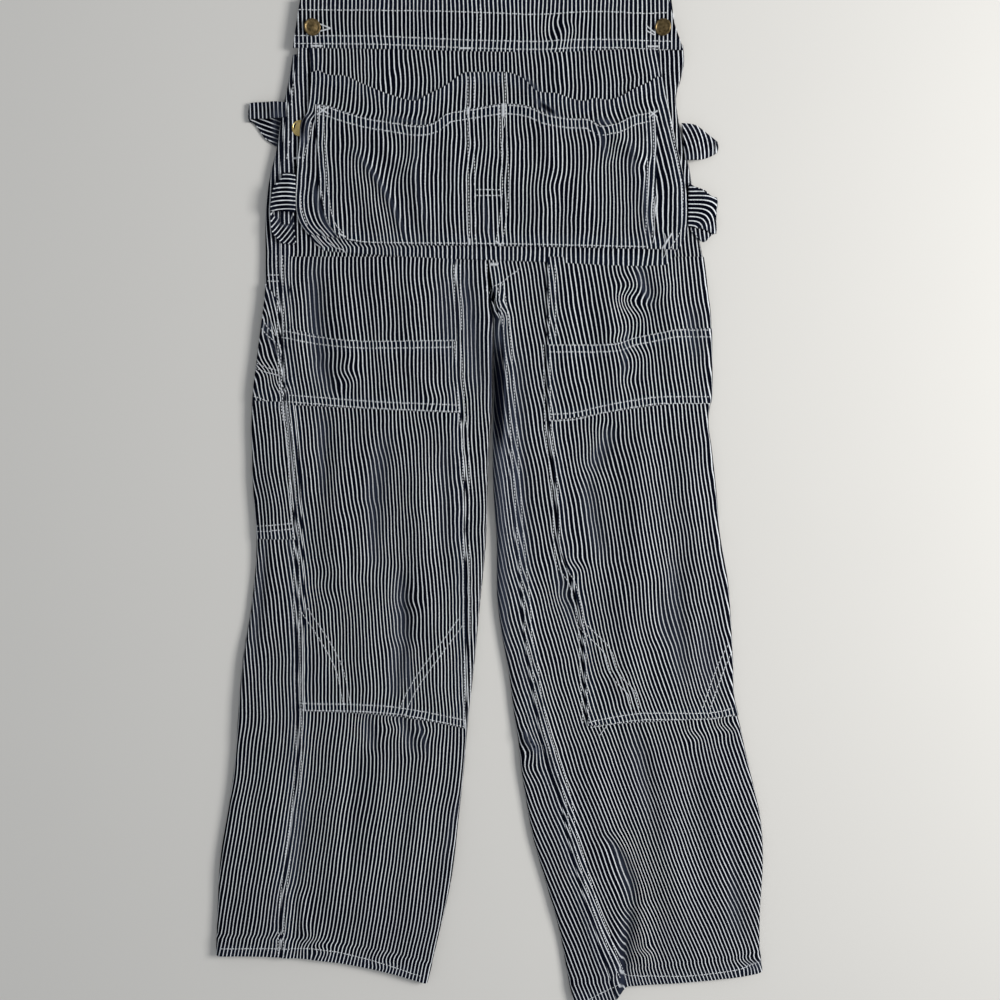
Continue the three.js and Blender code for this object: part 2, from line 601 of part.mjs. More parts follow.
// Nail apron: one grid for its base and both pocket layers, with their curved edges as rows
function apronGrid() {
  const edges = [
    [{ x: -1, y: -SEAM_GAP }, { x: 1, y: -SEAM_GAP }], REAR_MOUTH, FRONT_MOUTH,
  ];
  const rowY = edges.map((edge) => (x) => between(edge, 'x', x, 'y'));
  for (let k = 1; k <= APRON_BODY_ROWS; k += 1) {
    const f = k / APRON_BODY_ROWS;
    rowY.push((x) => THREE.MathUtils.lerp(
      between(FRONT_MOUTH, 'x', x, 'y'), between(POCKET_FOOT, 'x', x, 'y'), f));
  }
  rowY.push((x) => between(APRON_FOOT, 'x', x, 'y'));
  return rowY.map((yAt) => {
    const leftY = yAt(-APRON_EDGE_X);
    const rightY = yAt(APRON_EDGE_X);
    const stops = [
      between(APRON, 'y', leftY, 'left'), between(APRON, 'y', leftY, 'pocketLeft'),
      between(APRON, 'y', rightY, 'pocketRight'), between(APRON, 'y', rightY, 'right'),
    ];
    const xs = [stops[0]];
    for (let k = 0; k < APRON_COLUMNS; k += 1) {
      xs.push(stops[1] + ((stops[2] - stops[1]) * k) / (APRON_COLUMNS - 1));
    }
    xs.push(stops[3]);
    return xs.map((x) => onTop(x, yAt(x), LIE_HEIGHT + foldHeight(APRON_FOLDS, x, yAt(x))));
  });
}
const apron = apronGrid();
const lastRow = apron.length - 1;
add('apron_base', sewnOn(apron), STRIPED);
add('apron_rear_pocket', sewnOn(piece(apron, [1, lastRow - 1], [0, APRON_COLUMNS + 1]), 1), STRIPED);
add('apron_front_pocket', sewnOn(piece(apron, [2, lastRow - 1], [1, APRON_COLUMNS]), 2), STRIPED);

// Flat panels above the waist, from tables of their edges
function flatGrid(sections, steps, z) {
  return sections.map(({ y, left, right }) => {
    const row = [];
    for (let k = 0; k <= steps; k += 1) row.push(onTop(left + ((right - left) * k) / steps, y, z));
    return row;
  });
}
const backSections = BACK.map(({ y, half }) => ({ y, left: -half, right: half }));
const waistbandGrid = flatGrid(WAISTBAND, WAISTBAND_STEPS, WAISTBAND_TOP_Z);
add('front_waistband', wall(waistbandGrid, 0, -WAISTBAND_THICK), STRIPED);
add('bib', wall(flatGrid(BIB, PANEL_STEPS, BIB_TOP_Z), 0, -CLOTH), STRIPED);
add('back_panel', wall(flatGrid(backSections, PANEL_STEPS, CLOTH), 0, -CLOTH), STRIPED);

// A strap: up from the back on the floor, folded at the shoulder, and down to hook round the bar of
// its buckle. hand is -1 for the wearer's right.
function strapGrid(hand) {
  const high = PLATE_Z + PLATE_THICK / 2 + HOOK_RADIUS;
  const foldRadius = EDGE_RADIUS;
  const backX = STRAP_WIDTH / 2 + 3;
  const stations = [
    { x: backX, y: BACK_TOP_Y + SEAM_GAP, z: 0, tilt: -90 },
    { x: 45, y: 475, z: 0, tilt: -90 },
    { x: 80, y: 535, z: 0, tilt: -90 },
    { x: STRAP_X, y: SHOULDER_FOLD_Y - foldRadius, z: 0, tilt: -90 },
  ];
  for (const tilt of [-45, 0, 45]) {
    const angle = THREE.MathUtils.degToRad(tilt);
    const y = SHOULDER_FOLD_Y - foldRadius + foldRadius * Math.cos(angle);
    stations.push({ x: STRAP_X, y, z: foldRadius + foldRadius * Math.sin(angle), tilt });
  }
  stations.push(
    { x: STRAP_X, y: SHOULDER_FOLD_Y - foldRadius, z: LIE_HEIGHT, tilt: 90 },
    { x: STRAP_X, y: 500, z: LIE_HEIGHT, tilt: 90 },
    { x: STRAP_X, y: 425, z: high, tilt: 90 },
    { x: STRAP_X, y: BAR_Y, z: high, tilt: 90 },
  );
  for (const tilt of [135, 180, 225, 270]) {
    const angle = THREE.MathUtils.degToRad(tilt);
    const y = BAR_Y + HOOK_RADIUS * Math.cos(angle);
    stations.push({ x: STRAP_X, y, z: high - HOOK_RADIUS + HOOK_RADIUS * Math.sin(angle), tilt });
  }
  stations.push({ x: STRAP_X, y: STRAP_END_Y, z: high - 2 * HOOK_RADIUS, tilt: 270 });
  return stations.map(({ x, y, z, tilt }) => {
    const angle = THREE.MathUtils.degToRad(tilt);
    return [-1, 0, 1].map((side) => place(
      hand * x + (side * STRAP_WIDTH) / 2, y, z, 0, Math.cos(angle), Math.sin(angle)));
  });
}

// Buckle: a plate with a bar at its top for the strap and a round hole that goes over the button
function buckleGeometry() {
  const top = BAR_Y + BAR_HALF_WIDTH;
  const half = STRAP_WIDTH / 2 + METAL_MARGIN;
  const shoulder = BAR_Y - BUCKLE.shoulderDrop;
  const plate = new THREE.Shape();
  plate.moveTo(-half, top);
  plate.lineTo(half, top);
  plate.lineTo(half, shoulder);
  plate.lineTo(BUCKLE.eyeRadius, BIB_BUTTON_Y);
  plate.absarc(0, BIB_BUTTON_Y, BUCKLE.eyeRadius, 0, -Math.PI, true);
  plate.lineTo(-half, shoulder);
  const slot = new THREE.Path();
  const slotHalf = STRAP_WIDTH / 2 + 1;
  slot.moveTo(-slotHalf, BAR_Y - BAR_HALF_WIDTH);
  slot.lineTo(-slotHalf, BAR_Y - BUCKLE.slotDrop);
  slot.lineTo(slotHalf, BAR_Y - BUCKLE.slotDrop);
  slot.lineTo(slotHalf, BAR_Y - BAR_HALF_WIDTH);
  const hole = new THREE.Path();
  hole.absarc(0, BIB_BUTTON_Y, BUCKLE.holeRadius, 0, 2 * Math.PI, false);
  plate.holes.push(slot, hole);
  return new THREE.ExtrudeGeometry(plate, {
    depth: PLATE_THICK,
    bevelEnabled: false,
    curveSegments: CURVE_SEGMENTS,
  });
}

// Slide: a flat frame with two slots, lying on the strap above the buckle
function slideGeometry() {
  const frame = new THREE.Shape();
  const half = STRAP_WIDTH / 2 + METAL_MARGIN;
  const high = SLIDE.halfHeight;
  frame.moveTo(-half, -high).lineTo(half, -high).lineTo(half, high).lineTo(-half, high);
  const slotHalf = half - SLIDE.rim;
  for (const foot of SLIDE.slotFeet) {
    const head = foot + SLIDE.slotHeight;
    const slot = new THREE.Path();
    slot.moveTo(-slotHalf, foot).lineTo(-slotHalf, head).lineTo(slotHalf, head).lineTo(slotHalf, foot);
    frame.holes.push(slot);
  }
  return new THREE.ExtrudeGeometry(frame, { depth: SLIDE.thick, bevelEnabled: false });
}

// Pressed button with a raised rim and a domed middle, standing on z = 0
function buttonGeometry() {
  const profile = BUTTON_PROFILE.map(({ share, z }) => new THREE.Vector2(share * BUTTON_RADIUS, z));
  const geometry = new THREE.LatheGeometry(profile, BUTTON_SIDES);
  geometry.rotateX(Math.PI / 2);
  return geometry;
}

for (const [side, hand] of [['right', -1], ['left', 1]]) {
  add(`strap_${side}`, wall(strapGrid(hand), 0, -STRAP_THICK), STRIPED);
  add(`strap_buckle_${side}`, buckleGeometry(), STEEL).position.set(hand * STRAP_X, 0, PLATE_Z);
  const slide = add(`strap_slide_${side}`, slideGeometry(), STEEL);
  slide.position.set(hand * STRAP_X, SLIDE.y, PLATE_Z + PLATE_THICK / 2 + HOOK_RADIUS + SEAM_GAP);
  const bibButton = add(`bib_button_${side}`, buttonGeometry(), AGED_BRASS);
  bibButton.position.set(hand * STRAP_X, BIB_BUTTON_Y, BIB_TOP_Z + SEAM_GAP);
  const waistButton = add(`waist_button_${side}`, buttonGeometry(), AGED_BRASS);
  waistButton.position.set(hand * WAIST_BUTTON_X, WAIST_BUTTON_Y, WAISTBAND_TOP_Z + SEAM_GAP);
}
add('side_button_right', buttonGeometry(), BRIGHT_BRASS)
  .position.set(SIDE_BUTTON.x, SIDE_BUTTON.y, LIE_HEIGHT + SEAM_GAP);

// A hammer loop: a band of cloth folded over on itself at the hip. tilt is the way its outer face
// looks, in degrees from the way the band runs out (0) up to straight up (90), or down (-90).
function loopGrid({ run, under, over }) {
  const line = (station, tilt, reach = 0, rise = 0) => {
    const angle = THREE.MathUtils.degToRad(tilt);
    const out = [run[0] * Math.cos(angle), run[1] * Math.cos(angle), Math.sin(angle)];
    return [0, 0.5, 1].map((share) => place(
      THREE.MathUtils.lerp(station.ax, station.bx, share) + run[0] * reach,
      THREE.MathUtils.lerp(station.ay, station.by, share) + run[1] * reach,
      station.z + rise,
      ...out,
    ));
  };
  const turn = under[under.length - 1];
  const lines = under.map((station) => line(station, -90));
  for (const tilt of [-45, 0, 45]) {
    const angle = THREE.MathUtils.degToRad(tilt);
    lines.push(line(turn, tilt, LOOP_FOLD * Math.cos(angle), LOOP_FOLD * (1 + Math.sin(angle))));
  }
  over.forEach((station) => lines.push(line(station, 90)));
  return lines;
}
for (const loop of LOOPS) add(loop.name, wall(loopGrid(loop), 0, -LOOP_THICK), STRIPED);

export default garment;
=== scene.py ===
import math

import bmesh
import bpy
import numpy as np
from bpy.props import FloatProperty, FloatVectorProperty, PointerProperty
from mathutils import Matrix, Vector
from mathutils.bvhtree import BVHTree


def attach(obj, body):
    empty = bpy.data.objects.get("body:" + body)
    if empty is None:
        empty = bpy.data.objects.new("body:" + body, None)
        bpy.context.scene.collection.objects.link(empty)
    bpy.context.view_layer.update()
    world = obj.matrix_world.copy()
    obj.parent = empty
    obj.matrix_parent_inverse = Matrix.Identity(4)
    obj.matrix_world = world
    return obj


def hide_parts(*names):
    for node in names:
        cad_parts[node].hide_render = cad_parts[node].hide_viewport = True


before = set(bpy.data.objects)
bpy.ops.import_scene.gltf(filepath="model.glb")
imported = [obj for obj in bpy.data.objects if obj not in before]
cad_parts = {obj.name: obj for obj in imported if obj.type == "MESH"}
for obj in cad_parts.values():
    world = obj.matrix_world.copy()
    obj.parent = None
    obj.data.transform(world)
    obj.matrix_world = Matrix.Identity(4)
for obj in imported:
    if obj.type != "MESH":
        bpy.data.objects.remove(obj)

bl_info = {
    "name": "Carpenter's Bib Overalls",
    "version": (1, 0, 0),
    "blender": (4, 5, 0),
    "location": "3D View > Sidebar > Overalls",
    "description": "Striped cotton overalls with a nail apron, laid flat",
    "category": "Add Mesh",
}

# Tables and shapes below are in millimetres: +X to the wearer's left, +Y up the garment, +Z up.
MM = 0.001

# How the legs lie: the front's upper face, and the round edge where the tube is folded flat
LIE_HEIGHT = 7.5
EDGE_RADIUS = LIE_HEIGHT / 2
CROTCH_Y = -258
CROTCH_EASE = 26

# Heights of the layers sewn on, above what carries them
FRONT_LIFT = 0.9
PATCH_LIFT = 1.5
BAND_LIFT = 2.3
BASE_LIFT = 1.8
REAR_LIFT = 3.1
POCKET_LIFT = 4.4
WAISTBAND_LIFT = 1.6
WAISTBAND_TOP = 10.0
WAISTBAND_HEAD = 50
BIB_TOP = 6.0
BACK_TOP = 2.0

# Felled seams and turned hems
SEAM_FOLD = 10.5
HEM_FOLD = 22
SEAM_RISE = 0.7
SEAM_LAP = 1.6
TURN_RADIUS = 0.9
NEEDLE_GAUGE = 7.8
STITCH_INSET = 1.8


def table(columns, *rows):
    """Rows of numbers as named columns."""
    return {name: np.array(values, float) for name, values in zip(columns.split(), zip(*rows))}


# Sections of each leg: its outer edge, the seam that shows, the patches' inner edge, its inner edge
RIGHT_LEG = table(
    "y side seam patch inner",
    (10, -200.5, -194.5, -40, 0), (0, -202, -196, -40, 0), (-30, -207.5, -201.5, -40, 0),
    (-63, -215, -209, -40, 0), (-102, -222, -215, -40, 0), (-133, -230, -218, -40, 0),
    (-170, -235, -218, -40, 1), (-219, -236, -219, -35, 2), (-258, -238, -219.5, -34.5, 2.5),
    (-275, -240, -219.5, -34, 5), (-323, -247, -218.5, -33, 5), (-366, -253, -217, -30, 4),
    (-407, -255, -213, -27, 1), (-452, -255, -210, -25.5, -1), (-518, -252, -208, -25.5, -3),
    (-590, -259, -207, -25, -10), (-650, -269, -209, -24.5, -16), (-720, -276, -209, -27, -24),
    (-766, -280, -210, -40, -28), (-821, -288, -216, -50, -34), (-888, -300, -225, -62, -42),
    (-950, -305, -232, -76, -56), (-1040, -309, -233, -98, -79),
)
LEFT_LEG = table(
    "y side seam patch inner",
    (10, 203, 0, 63, 0), (-12, 205, 0, 63, 0), (-30, 202, 0, 63, 0), (-50, 197, 0, 63, 0),
    (-76, 201, 0, 63, 0), (-120, 212, 0, 63, 0), (-185, 222, 1, 63, 1), (-219, 229, 2, 63, 2),
    (-258, 234, 9, 63, 2.5), (-275, 236, 14, 63, 7), (-323, 238, 18, 64, 7), (-366, 239, 22, 65, 6.5),
    (-398, 236, 24, 65.5, 5.5), (-425, 240, 24, 69, 5.5), (-470, 246, 27, 74, 7), (-518, 251, 31, 77, 10),
    (-564, 260, 36, 92, 10), (-614, 265, 40, 102, 15), (-658, 268, 46, 105, 23), (-704, 271, 54, 108, 29),
    (-735, 279, 60, 111, 34), (-766, 286, 68, 117, 37), (-798, 294, 80, 124, 42),
    (-842, 304, 89, 134, 50), (-898, 308, 104, 146, 66), (-955, 306, 123, 158, 82),
    (-1000, 307, 140, 166, 92), (-1045, 314, 151, 172, 104), (-1060, 317, 153, 174, 108),
)

# How rows across a leg drop towards its inner edge, how the drop is spread (1 is straight), and how
# far and how steeply it bends instead
RIGHT_ROWS = table(
    "v drop spread bend steep",
    (10, 0, 1, 0, 1), (-250, 0, 1, 0, 1), (-266, -8, 1, 0.5, 2), (-289, -13.5, 1, 1, 3.2),
    (-330, -12, 1, 0.5, 2), (-369, -12, 1, 0, 1), (-402, -8, 1, 0, 1), (-442, -6, 1, 0, 1),
    (-560, -6, 1, 0, 1), (-600, -8, 1, 0, 1), (-640, -12, 1.4, 0, 1), (-678, -17, 2.2, 0, 1),
    (-707, -21, 3, 0, 1), (-750, -21, 2, 0, 1), (-796, -22, 1.2, 0, 1), (-840, -24, 1, 0, 1),
    (-884, -26, 1.4, 0, 1), (-926, -29, 1.8, 0, 1), (-962, -32, 2.2, 0, 1), (-995, -34, 2.6, 0, 1),
)
LEFT_ROWS = table(
    "v drop spread bend steep",
    (10, 0, 1, 0, 1), (-252, 0, 1, 0, 1), (-266, -10, 1, 0.6, 2), (-287, -17, 1, 1, 2.2),
    (-330, -18, 1, 1, 1.7), (-371, -20, 1, 1, 1.25), (-404, -18, 1, 0.4, 1.1), (-442, -16, 1, 0, 1),
    (-482, -14, 1, 0, 1), (-522, -12, 1, 0, 1), (-602, -10, 1, 0, 1), (-640, -12, 1, 0, 1),
    (-678, -14, 1, 0, 1), (-712, -17, 1, 0, 1), (-756, -17, 1, 0, 1), (-800, -18, 1, 0, 1),
    (-844, -20, 0.9, 0, 1), (-888, -23, 0.8, 0, 1), (-934, -24, 0.7, 0, 1), (-976, -23, 0.6, 0, 1),
    (-1014, -21, 0.5, 0, 1),
)
PANEL_TOP, BAND_TOP, BAND_FOOT, KNEE_FOOT = -214, -289, -369, -707
SHIN_TOP = -730
FRONT_HEAD = 4
BACK_HEAD = -6.5

# Where the apron ends on the legs, and the part of a hem that hangs lower
APRON_HEM = -204
CORNER_TOP = -920
CORNER_START = 0.72

# One stripe followed down each leg, and the stripes' pitch there
RIGHT_GRAIN = table(
    "y line pitch",
    (10, -121, 4.3), (-219, -121, 4.3), (-259, -118, 4.3), (-323, -114, 4.22), (-398, -109, 4.12),
    (-474, -103, 4.0), (-540, -99, 3.92), (-630, -95, 3.88), (-709, -93, 3.9), (-749, -95, 3.94),
    (-789, -98, 3.98), (-829, -104, 4.02), (-870, -110, 4.05), (-952, -123, 4.1), (-1040, -141, 4.1),
)
LEFT_GRAIN = table(
    "y line pitch",
    (10, 128, 4.3), (-219, 141, 4.3), (-259, 147, 4.3), (-323, 158, 4.3), (-398, 169, 4.25),
    (-474, 181, 4.2), (-540, 193, 4.2), (-630, 214, 4.2), (-709, 238, 4.2), (-749, 252, 4.25),
    (-789, 267, 4.3), (-870, 299, 4.3), (-952, 333, 4.3), (-1060, 374, 4.3),
)

# Creases of the legs: from, to, sideways bow, half width, height (a trough is below 0) and how far the crease
# pulls the stripes sideways
FOLD_COLUMNS = "x0 y0 x1 y1 bow width height pull"
FOLD_HEIGHT = 1.25
LEG_FOLDS = table(
    FOLD_COLUMNS,
    (-184, -205, -176, -368, 5, 10, -2.6, 2.5), (-160, -225, -148, -372, -4, 15, 2.6, 0),
    (-205, -215, -200, -350, 0, 9, 1.6, 0), (-118, -222, -108, -345, 4, 14, 1.6, 1.5),
    (-80, -215, -70, -380, 6, 16, 1.8, 0), (-52, -225, -40, -330, 0, 9, -1.4, -1.5),
    (-25, -215, -8, -370, 3, 9, -2.6, 2), (-93, -318, -52, -366, 0, 8, 1.5, 2),
    (-182, -318, -165, -366, 0, 5, -1.8, 3), (-177, -366, -178, -480, 2, 9, -2.2, -2),
    (-195, -380, -198, -520, 0, 10, 1.6, 0), (-152, -385, -160, -600, 8, 18, 3.0, 2.5),
    (-106, -390, -128, -560, 7, 10, -2.8, -3), (-80, -395, -74, -640, -6, 18, 3.0, 0),
    (-46, -400, -52, -560, 2, 9, -1.6, 2), (-96, -555, -97, -690, 0, 9, -2.0, 2.5),
    (-178, -560, -184, -700, 4, 12, 1.8, -1.5), (-130, -600, -138, -705, 0, 12, 1.6, 0),
    (-48, -600, -58, -712, 4, 11, 1.8, 1.5), (-136, -708, -124, -760, 2, 6, -2.0, 3),
    (-101, -706, -80, -760, 0, 6, -2.2, 3.5), (-170, -716, -180, -960, -7, 20, 3.0, 2),
    (-112, -730, -138, -990, 6, 18, 2.6, -2), (-145, -740, -158, -900, 3, 9, -2.0, 2),
    (-62, -740, -92, -960, 5, 12, 2.0, 1.5), (-235, -720, -262, -960, -4, 14, 2.0, 0),
    (-205, -780, -222, -930, 0, 9, -1.6, -2), (-268, -600, -290, -800, -3, 8, 1.5, 0),
    (-232, -380, -234, -640, 2, 10, 1.3, 1), (30, -285, 42, -600, 4, 9, -2.4, 2.5),
    (14, -300, 16, -520, 2, 6, 1.5, 0), (84, -222, 92, -380, 4, 14, 1.8, 2),
    (122, -225, 138, -400, -4, 14, 2.2, -2), (158, -218, 179, -262, 2, 6, -2.2, -4),
    (182, -215, 205, -360, 0, 13, 2.2, 2), (214, -260, 222, -330, 0, 8, -1.8, -2),
    (133, -388, 106, -446, -4, 8, -2.2, 4), (106, -440, 128, -545, 4, 8, -2.4, -3),
    (160, -385, 176, -640, 7, 18, 3.0, -2), (206, -380, 232, -640, -5, 14, 2.4, 2.5),
    (200, -520, 214, -690, 0, 9, -2.0, -2.5), (140, -560, 158, -700, -4, 13, 2.2, 3),
    (232, -560, 250, -706, 4, 10, -1.4, 2), (112, -720, 150, -900, 8, 14, 2.0, -3),
    (196, -716, 224, -1000, 6, 22, 3.2, 2.5), (160, -724, 184, -860, -3, 10, -2.0, -2.5),
    (240, -730, 262, -940, -6, 14, 2.2, 2), (262, -800, 284, -980, 2, 9, -1.6, 0),
    (128, -846, 163, -935, -7, 7, -3.6, -5), (163, -925, 151, -1030, 3, 6, -4.2, -5),
    (286, -1004, 322, -1000, 0, 5, -2.0, 0), (168, -900, 176, -1020, 0, 9, 2.2, 0),
    (60, -640, 84, -800, 6, 9, 1.6, 2), (100, -880, 136, -1020, 4, 9, 1.8, -2),
    (-212, -905, -206, -980, 0, 5, 1.8, 3), (-240, -505, -262, -660, 0, 6, -2.4, 2),
    (-97, -540, -92, -640, 0, 7, -2.6, 3), (-92, -620, -104, -700, 4, 7, -2.2, -3),
    (-130, -470, -140, -560, 0, 9, 1.8, -2.5), (74, -540, 98, -620, 3, 6, -1.8, 3),
    (176, -560, 196, -640, -3, 8, -1.8, 3), (138, -660, 152, -700, 2, 7, 1.4, -2.5),
    (36, -724, 56, -758, 3, 3.5, 3.0, -3),
)

# Sections of the nail apron: its outer edges and those of the front pocket
APRON = table(
    "y left pocket_left pocket_right right",
    (6, -186, -181, 170, 176), (0, -186, -181, 170, 177), (-25, -185, -181, 173, 181),
    (-65, -189, -181, 176, 190), (-73, -195, -181, 176, 192), (-80, -197, -181, 176.5, 193.5),
    (-92, -197.5, -180, 177, 196), (-123, -201, -179, 177, 204), (-149, -203, -177, 177, 209),
    (-176, -200, -169, 176, 211), (-191, -190, -158, 173, 209), (-204, -178, -150, 170, 203),
    (-212, -161, -142, 166, 197), (-224, -150, -135, 162, 188),
)
REAR_MOUTH = table(
    "x y",
    (-186, -26), (-177, -23), (-168, -27), (-148, -29), (-130, -37), (-101, -48), (-76, -54), (-64, -48),
    (-42, -37), (-30, -28), (-22, -24.5), (14, -24.5), (28, -27), (40, -34), (51, -44.5), (72, -47),
    (88, -52), (101, -54), (112, -51), (123, -53), (137, -50), (152, -42), (168, -34.5), (178, -29),
    (190, -34),
)
FRONT_MOUTH = table(
    "x y",
    (-186, -57), (-168, -59), (-153, -64), (-131, -70), (-101, -75.5), (-72, -79), (-57, -76.5),
    (-42, -66.5), (-27, -63), (-13, -61), (17, -57), (48, -62), (59, -67), (80, -71.5), (104, -72.5),
    (119, -79.5), (132, -78), (153, -68), (174, -64), (190, -62),
)
POCKET_FOOT = table("x y", (-190, -191), (-158, -195), (-126, -201), (-9, -203), (56, -204), (205, -207))
APRON_FOOT = table("x y", (-200, -206), (-161, -209), (-88, -214), (56, -219.5), (160, -224), (205, -222))
APRON_FOLDS = table(
    FOLD_COLUMNS,
    (-148, -98, -84, -205, -9, 6, 3.0, 4), (-160, -110, -108, -206, -8, 10, 1.6, -2),
    (-122, -88, -84, -128, 0, 7, 2.2, -3), (-92, -124, -70, -124, 0, 6, 1.4, 0),
    (-75, -84, -56, -208, 9, 9, 2.2, 4), (-104, -150, -60, -206, 0, 9, -0.8, -2),
    (112, -76, 168, -124, -4, 6, 2.6, -5), (128, -98, 168, -112, 3, 5, 1.6, 3),
    (150, -84, 182, -206, 4, 10, 1.8, 3), (56, -70, 80, -140, 4, 10, 2.2, -3),
    (62, -120, 52, -206, 0, 12, 1.6, 2), (100, -80, 92, -204, 0, 14, 1.2, -2.5),
    (24, -74, 36, -190, 3, 8, 1.2, -2), (152, -118, 166, -124, 0, 4, -1.2, 3),
    (-40, -80, -36, -200, -3, 8, 1.2, 2), (-195, -70, -206, -190, 0, 6, 0.9, 0),
    (190, -90, 206, -200, 4, 7, 1.0, 0), (-112, -2, -92, -26, 4, 8, 1.2, 1.4),
    (66, -2, 78, -54, -2, 8, 1.6, -2), (-120, -26, -104, -72, 2, 8, 1.0, 2),
    (150, -30, 166, -66, 0, 8, 1.2, 3),
)

# Places where a pocket's mouth stands open: middle, half width and height
MOUTH_GAPES = table(
    "x width height",
    (-140, 26, 1.6), (-86, 22, 2.4), (-52, 14, 1.6), (48, 20, 3.6), (72, 16, 2.6), (108, 18, 1.6),
    (140, 20, 2.4),
)

# Edges of the waistband, bib and back
WAISTBAND = table("y left right", (-6, -204, 204), (0, -203, 203), (25, -199, 194), (52, -194, 187))
WAISTBAND_FOOT = table("x y", (-210, 0), (-92, -2), (-8, -4), (59, -5), (112, -3), (160, -1), (210, -3))
BIB = table(
    "y left right",
    (44, -194, 186), (85, -182, 178), (130, -162, 160), (185, -146, 146), (250, -134, 134),
    (340, -128, 128),
)
BACK = table(
    "y half",
    (-8, 200), (40, 193), (95, 184), (160, 160), (235, 123), (310, 88), (375, 60), (430, 45),
)
WAIST_FOLDS = table(
    FOLD_COLUMNS,
    (88, 26, 66, -4, 0, 4, 1.6, -4), (76, 32, 60, 4, 2, 4, -1.4, 3), (-120, 44, -112, 2, 0, 10, 0.8, 1),
    (20, 46, 26, 0, 0, 12, 0.8, -1), (140, 46, 134, 2, 0, 10, 0.8, 1),
)
BIB_FOLDS = table(
    FOLD_COLUMNS,
    (-90, 60, -70, 300, 14, 16, 2.2, 2), (40, 70, 62, 320, -12, 18, 2.4, -2),
    (104, 62, 86, 240, 6, 12, 1.8, 2), (-20, 80, -32, 330, 8, 14, 1.6, 0),
    (-132, 90, -116, 280, 0, 10, 1.6, 2),
)
BACK_FOLDS = table(FOLD_COLUMNS, (-30, 345, -10, 425, 4, 10, 1.2, 1), (24, 350, 18, 420, 0, 8, 1.0, -1))

# Small places where the cloth is twisted: middle, half width, half height, and how the stripes slant
TWIST_COLUMNS = "x y wide high turn"
LEG_TWISTS = table(
    TWIST_COLUMNS,
    (13, -270, 8, 13, 0.75), (149, -251, 13, 12, -0.8), (156, -272, 13, 12, 0.5),
    (142, -298, 14, 10, -0.4), (160, -312, 14, 12, 0.45), (150, -338, 12, 12, -0.35),
    (-232, -288, 9, 14, -0.5), (-235, -330, 13, 15, 0.55), (-222, -352, 10, 12, 0.5),
    (93, -545, 13, 12, 0.5), (84, -572, 10, 12, -0.4), (-152, -340, 12, 12, 0.5),
    (-60, -372, 14, 14, -0.3), (-108, -722, 12, 10, 0.5), (-72, -724, 12, 9, 0.5),
    (-88, -592, 14, 16, 0.35), (-178, -560, 14, 16, -0.3), (292, -1000, 12, 9, 0.8),
    (176, -985, 9, 9, 0.7), (-206, -975, 9, 12, -0.6), (-190, -982, 12, 8, 0.7),
    (-120, -1000, 20, 8, 0.5), (-238, -965, 8, 8, -0.5), (46, -764, 12, 14, -0.5),
    (228, -735, 10, 10, 0.5), (262, -727, 10, 9, 0.7),
)

# Sharp tucks that swallow cloth: from, to, bow, how far to one side the stripes are drawn in, by how much,
# how dark the painted shade along the line of the tuck is, and whether it deepens from its start to its end
TUCK_WIDTH = 2.8
TUCK_COLUMNS = "x0 y0 x1 y1 bow reach drawn deep deepens"
APRON_TUCKS = table(
    TUCK_COLUMNS,
    (-148, -98, -84, -205, -9, 30, 3.2, 0.55, 0), (-75, -88, -56, -200, 8, -24, -1.6, 0.3, 0),
    (118, -78, 128, -118, 2, -18, -2.2, 0.5, 0), (146, -90, 152, -134, -2, 14, 1.6, 0.5, 0),
    (-4, -150, 6, -200, 3, 16, 1.5, 0.35, 0), (-184, -130, -158, -200, 6, 14, 1.8, 0.8, 0),
    (166, -130, 172, -200, 3, 16, 1.6, 0.6, 0),
)
LEG_TUCKS = table(
    TUCK_COLUMNS,
    (-184, -216, -174, -368, 4, -16, -1.8, 0.7, 0), (-25, -215, -8, -330, 3, 12, 1.5, 0.7, 0),
    (-177, -372, -178, -480, 2, 10, 1.4, 0.6, 0), (150, -285, 146, -345, 2, 10, 1.2, 0.5, 0),
    (158, -222, 176, -266, 3, -16, -2.6, 0.6, 0), (128, -846, 163, -935, -7, -24, -3.2, 0.6, 0),
    (163, -925, 150, -1040, 3, -45, -9, 0.85, 1), (-106, -390, -126, -560, 7, 16, 1.4, 0.55, 0),
    (28, -300, 42, -600, 4, 16, 1.8, 0.6, 0), (128, -392, 106, -446, -4, 14, 1.8, 0.45, 0),
    (106, -440, 128, -545, 4, 14, -1.4, 0.35, 0), (38, -728, 60, -758, 2, 10, 2.4, 0.95, 0),
    (-97, -545, -92, -640, 0, 14, 1.6, 0.68, 0), (-94, -625, -88, -716, -4, -18, -2.4, 0.65, 0),
    (-240, -500, -262, -660, 0, 10, 1.2, 0.5, 0), (-80, -712, -66, -760, 0, 10, 1.8, 0.5, 0),
    (-30, -800, -52, -890, 2, 9, 1.2, 0.3, 0),
)
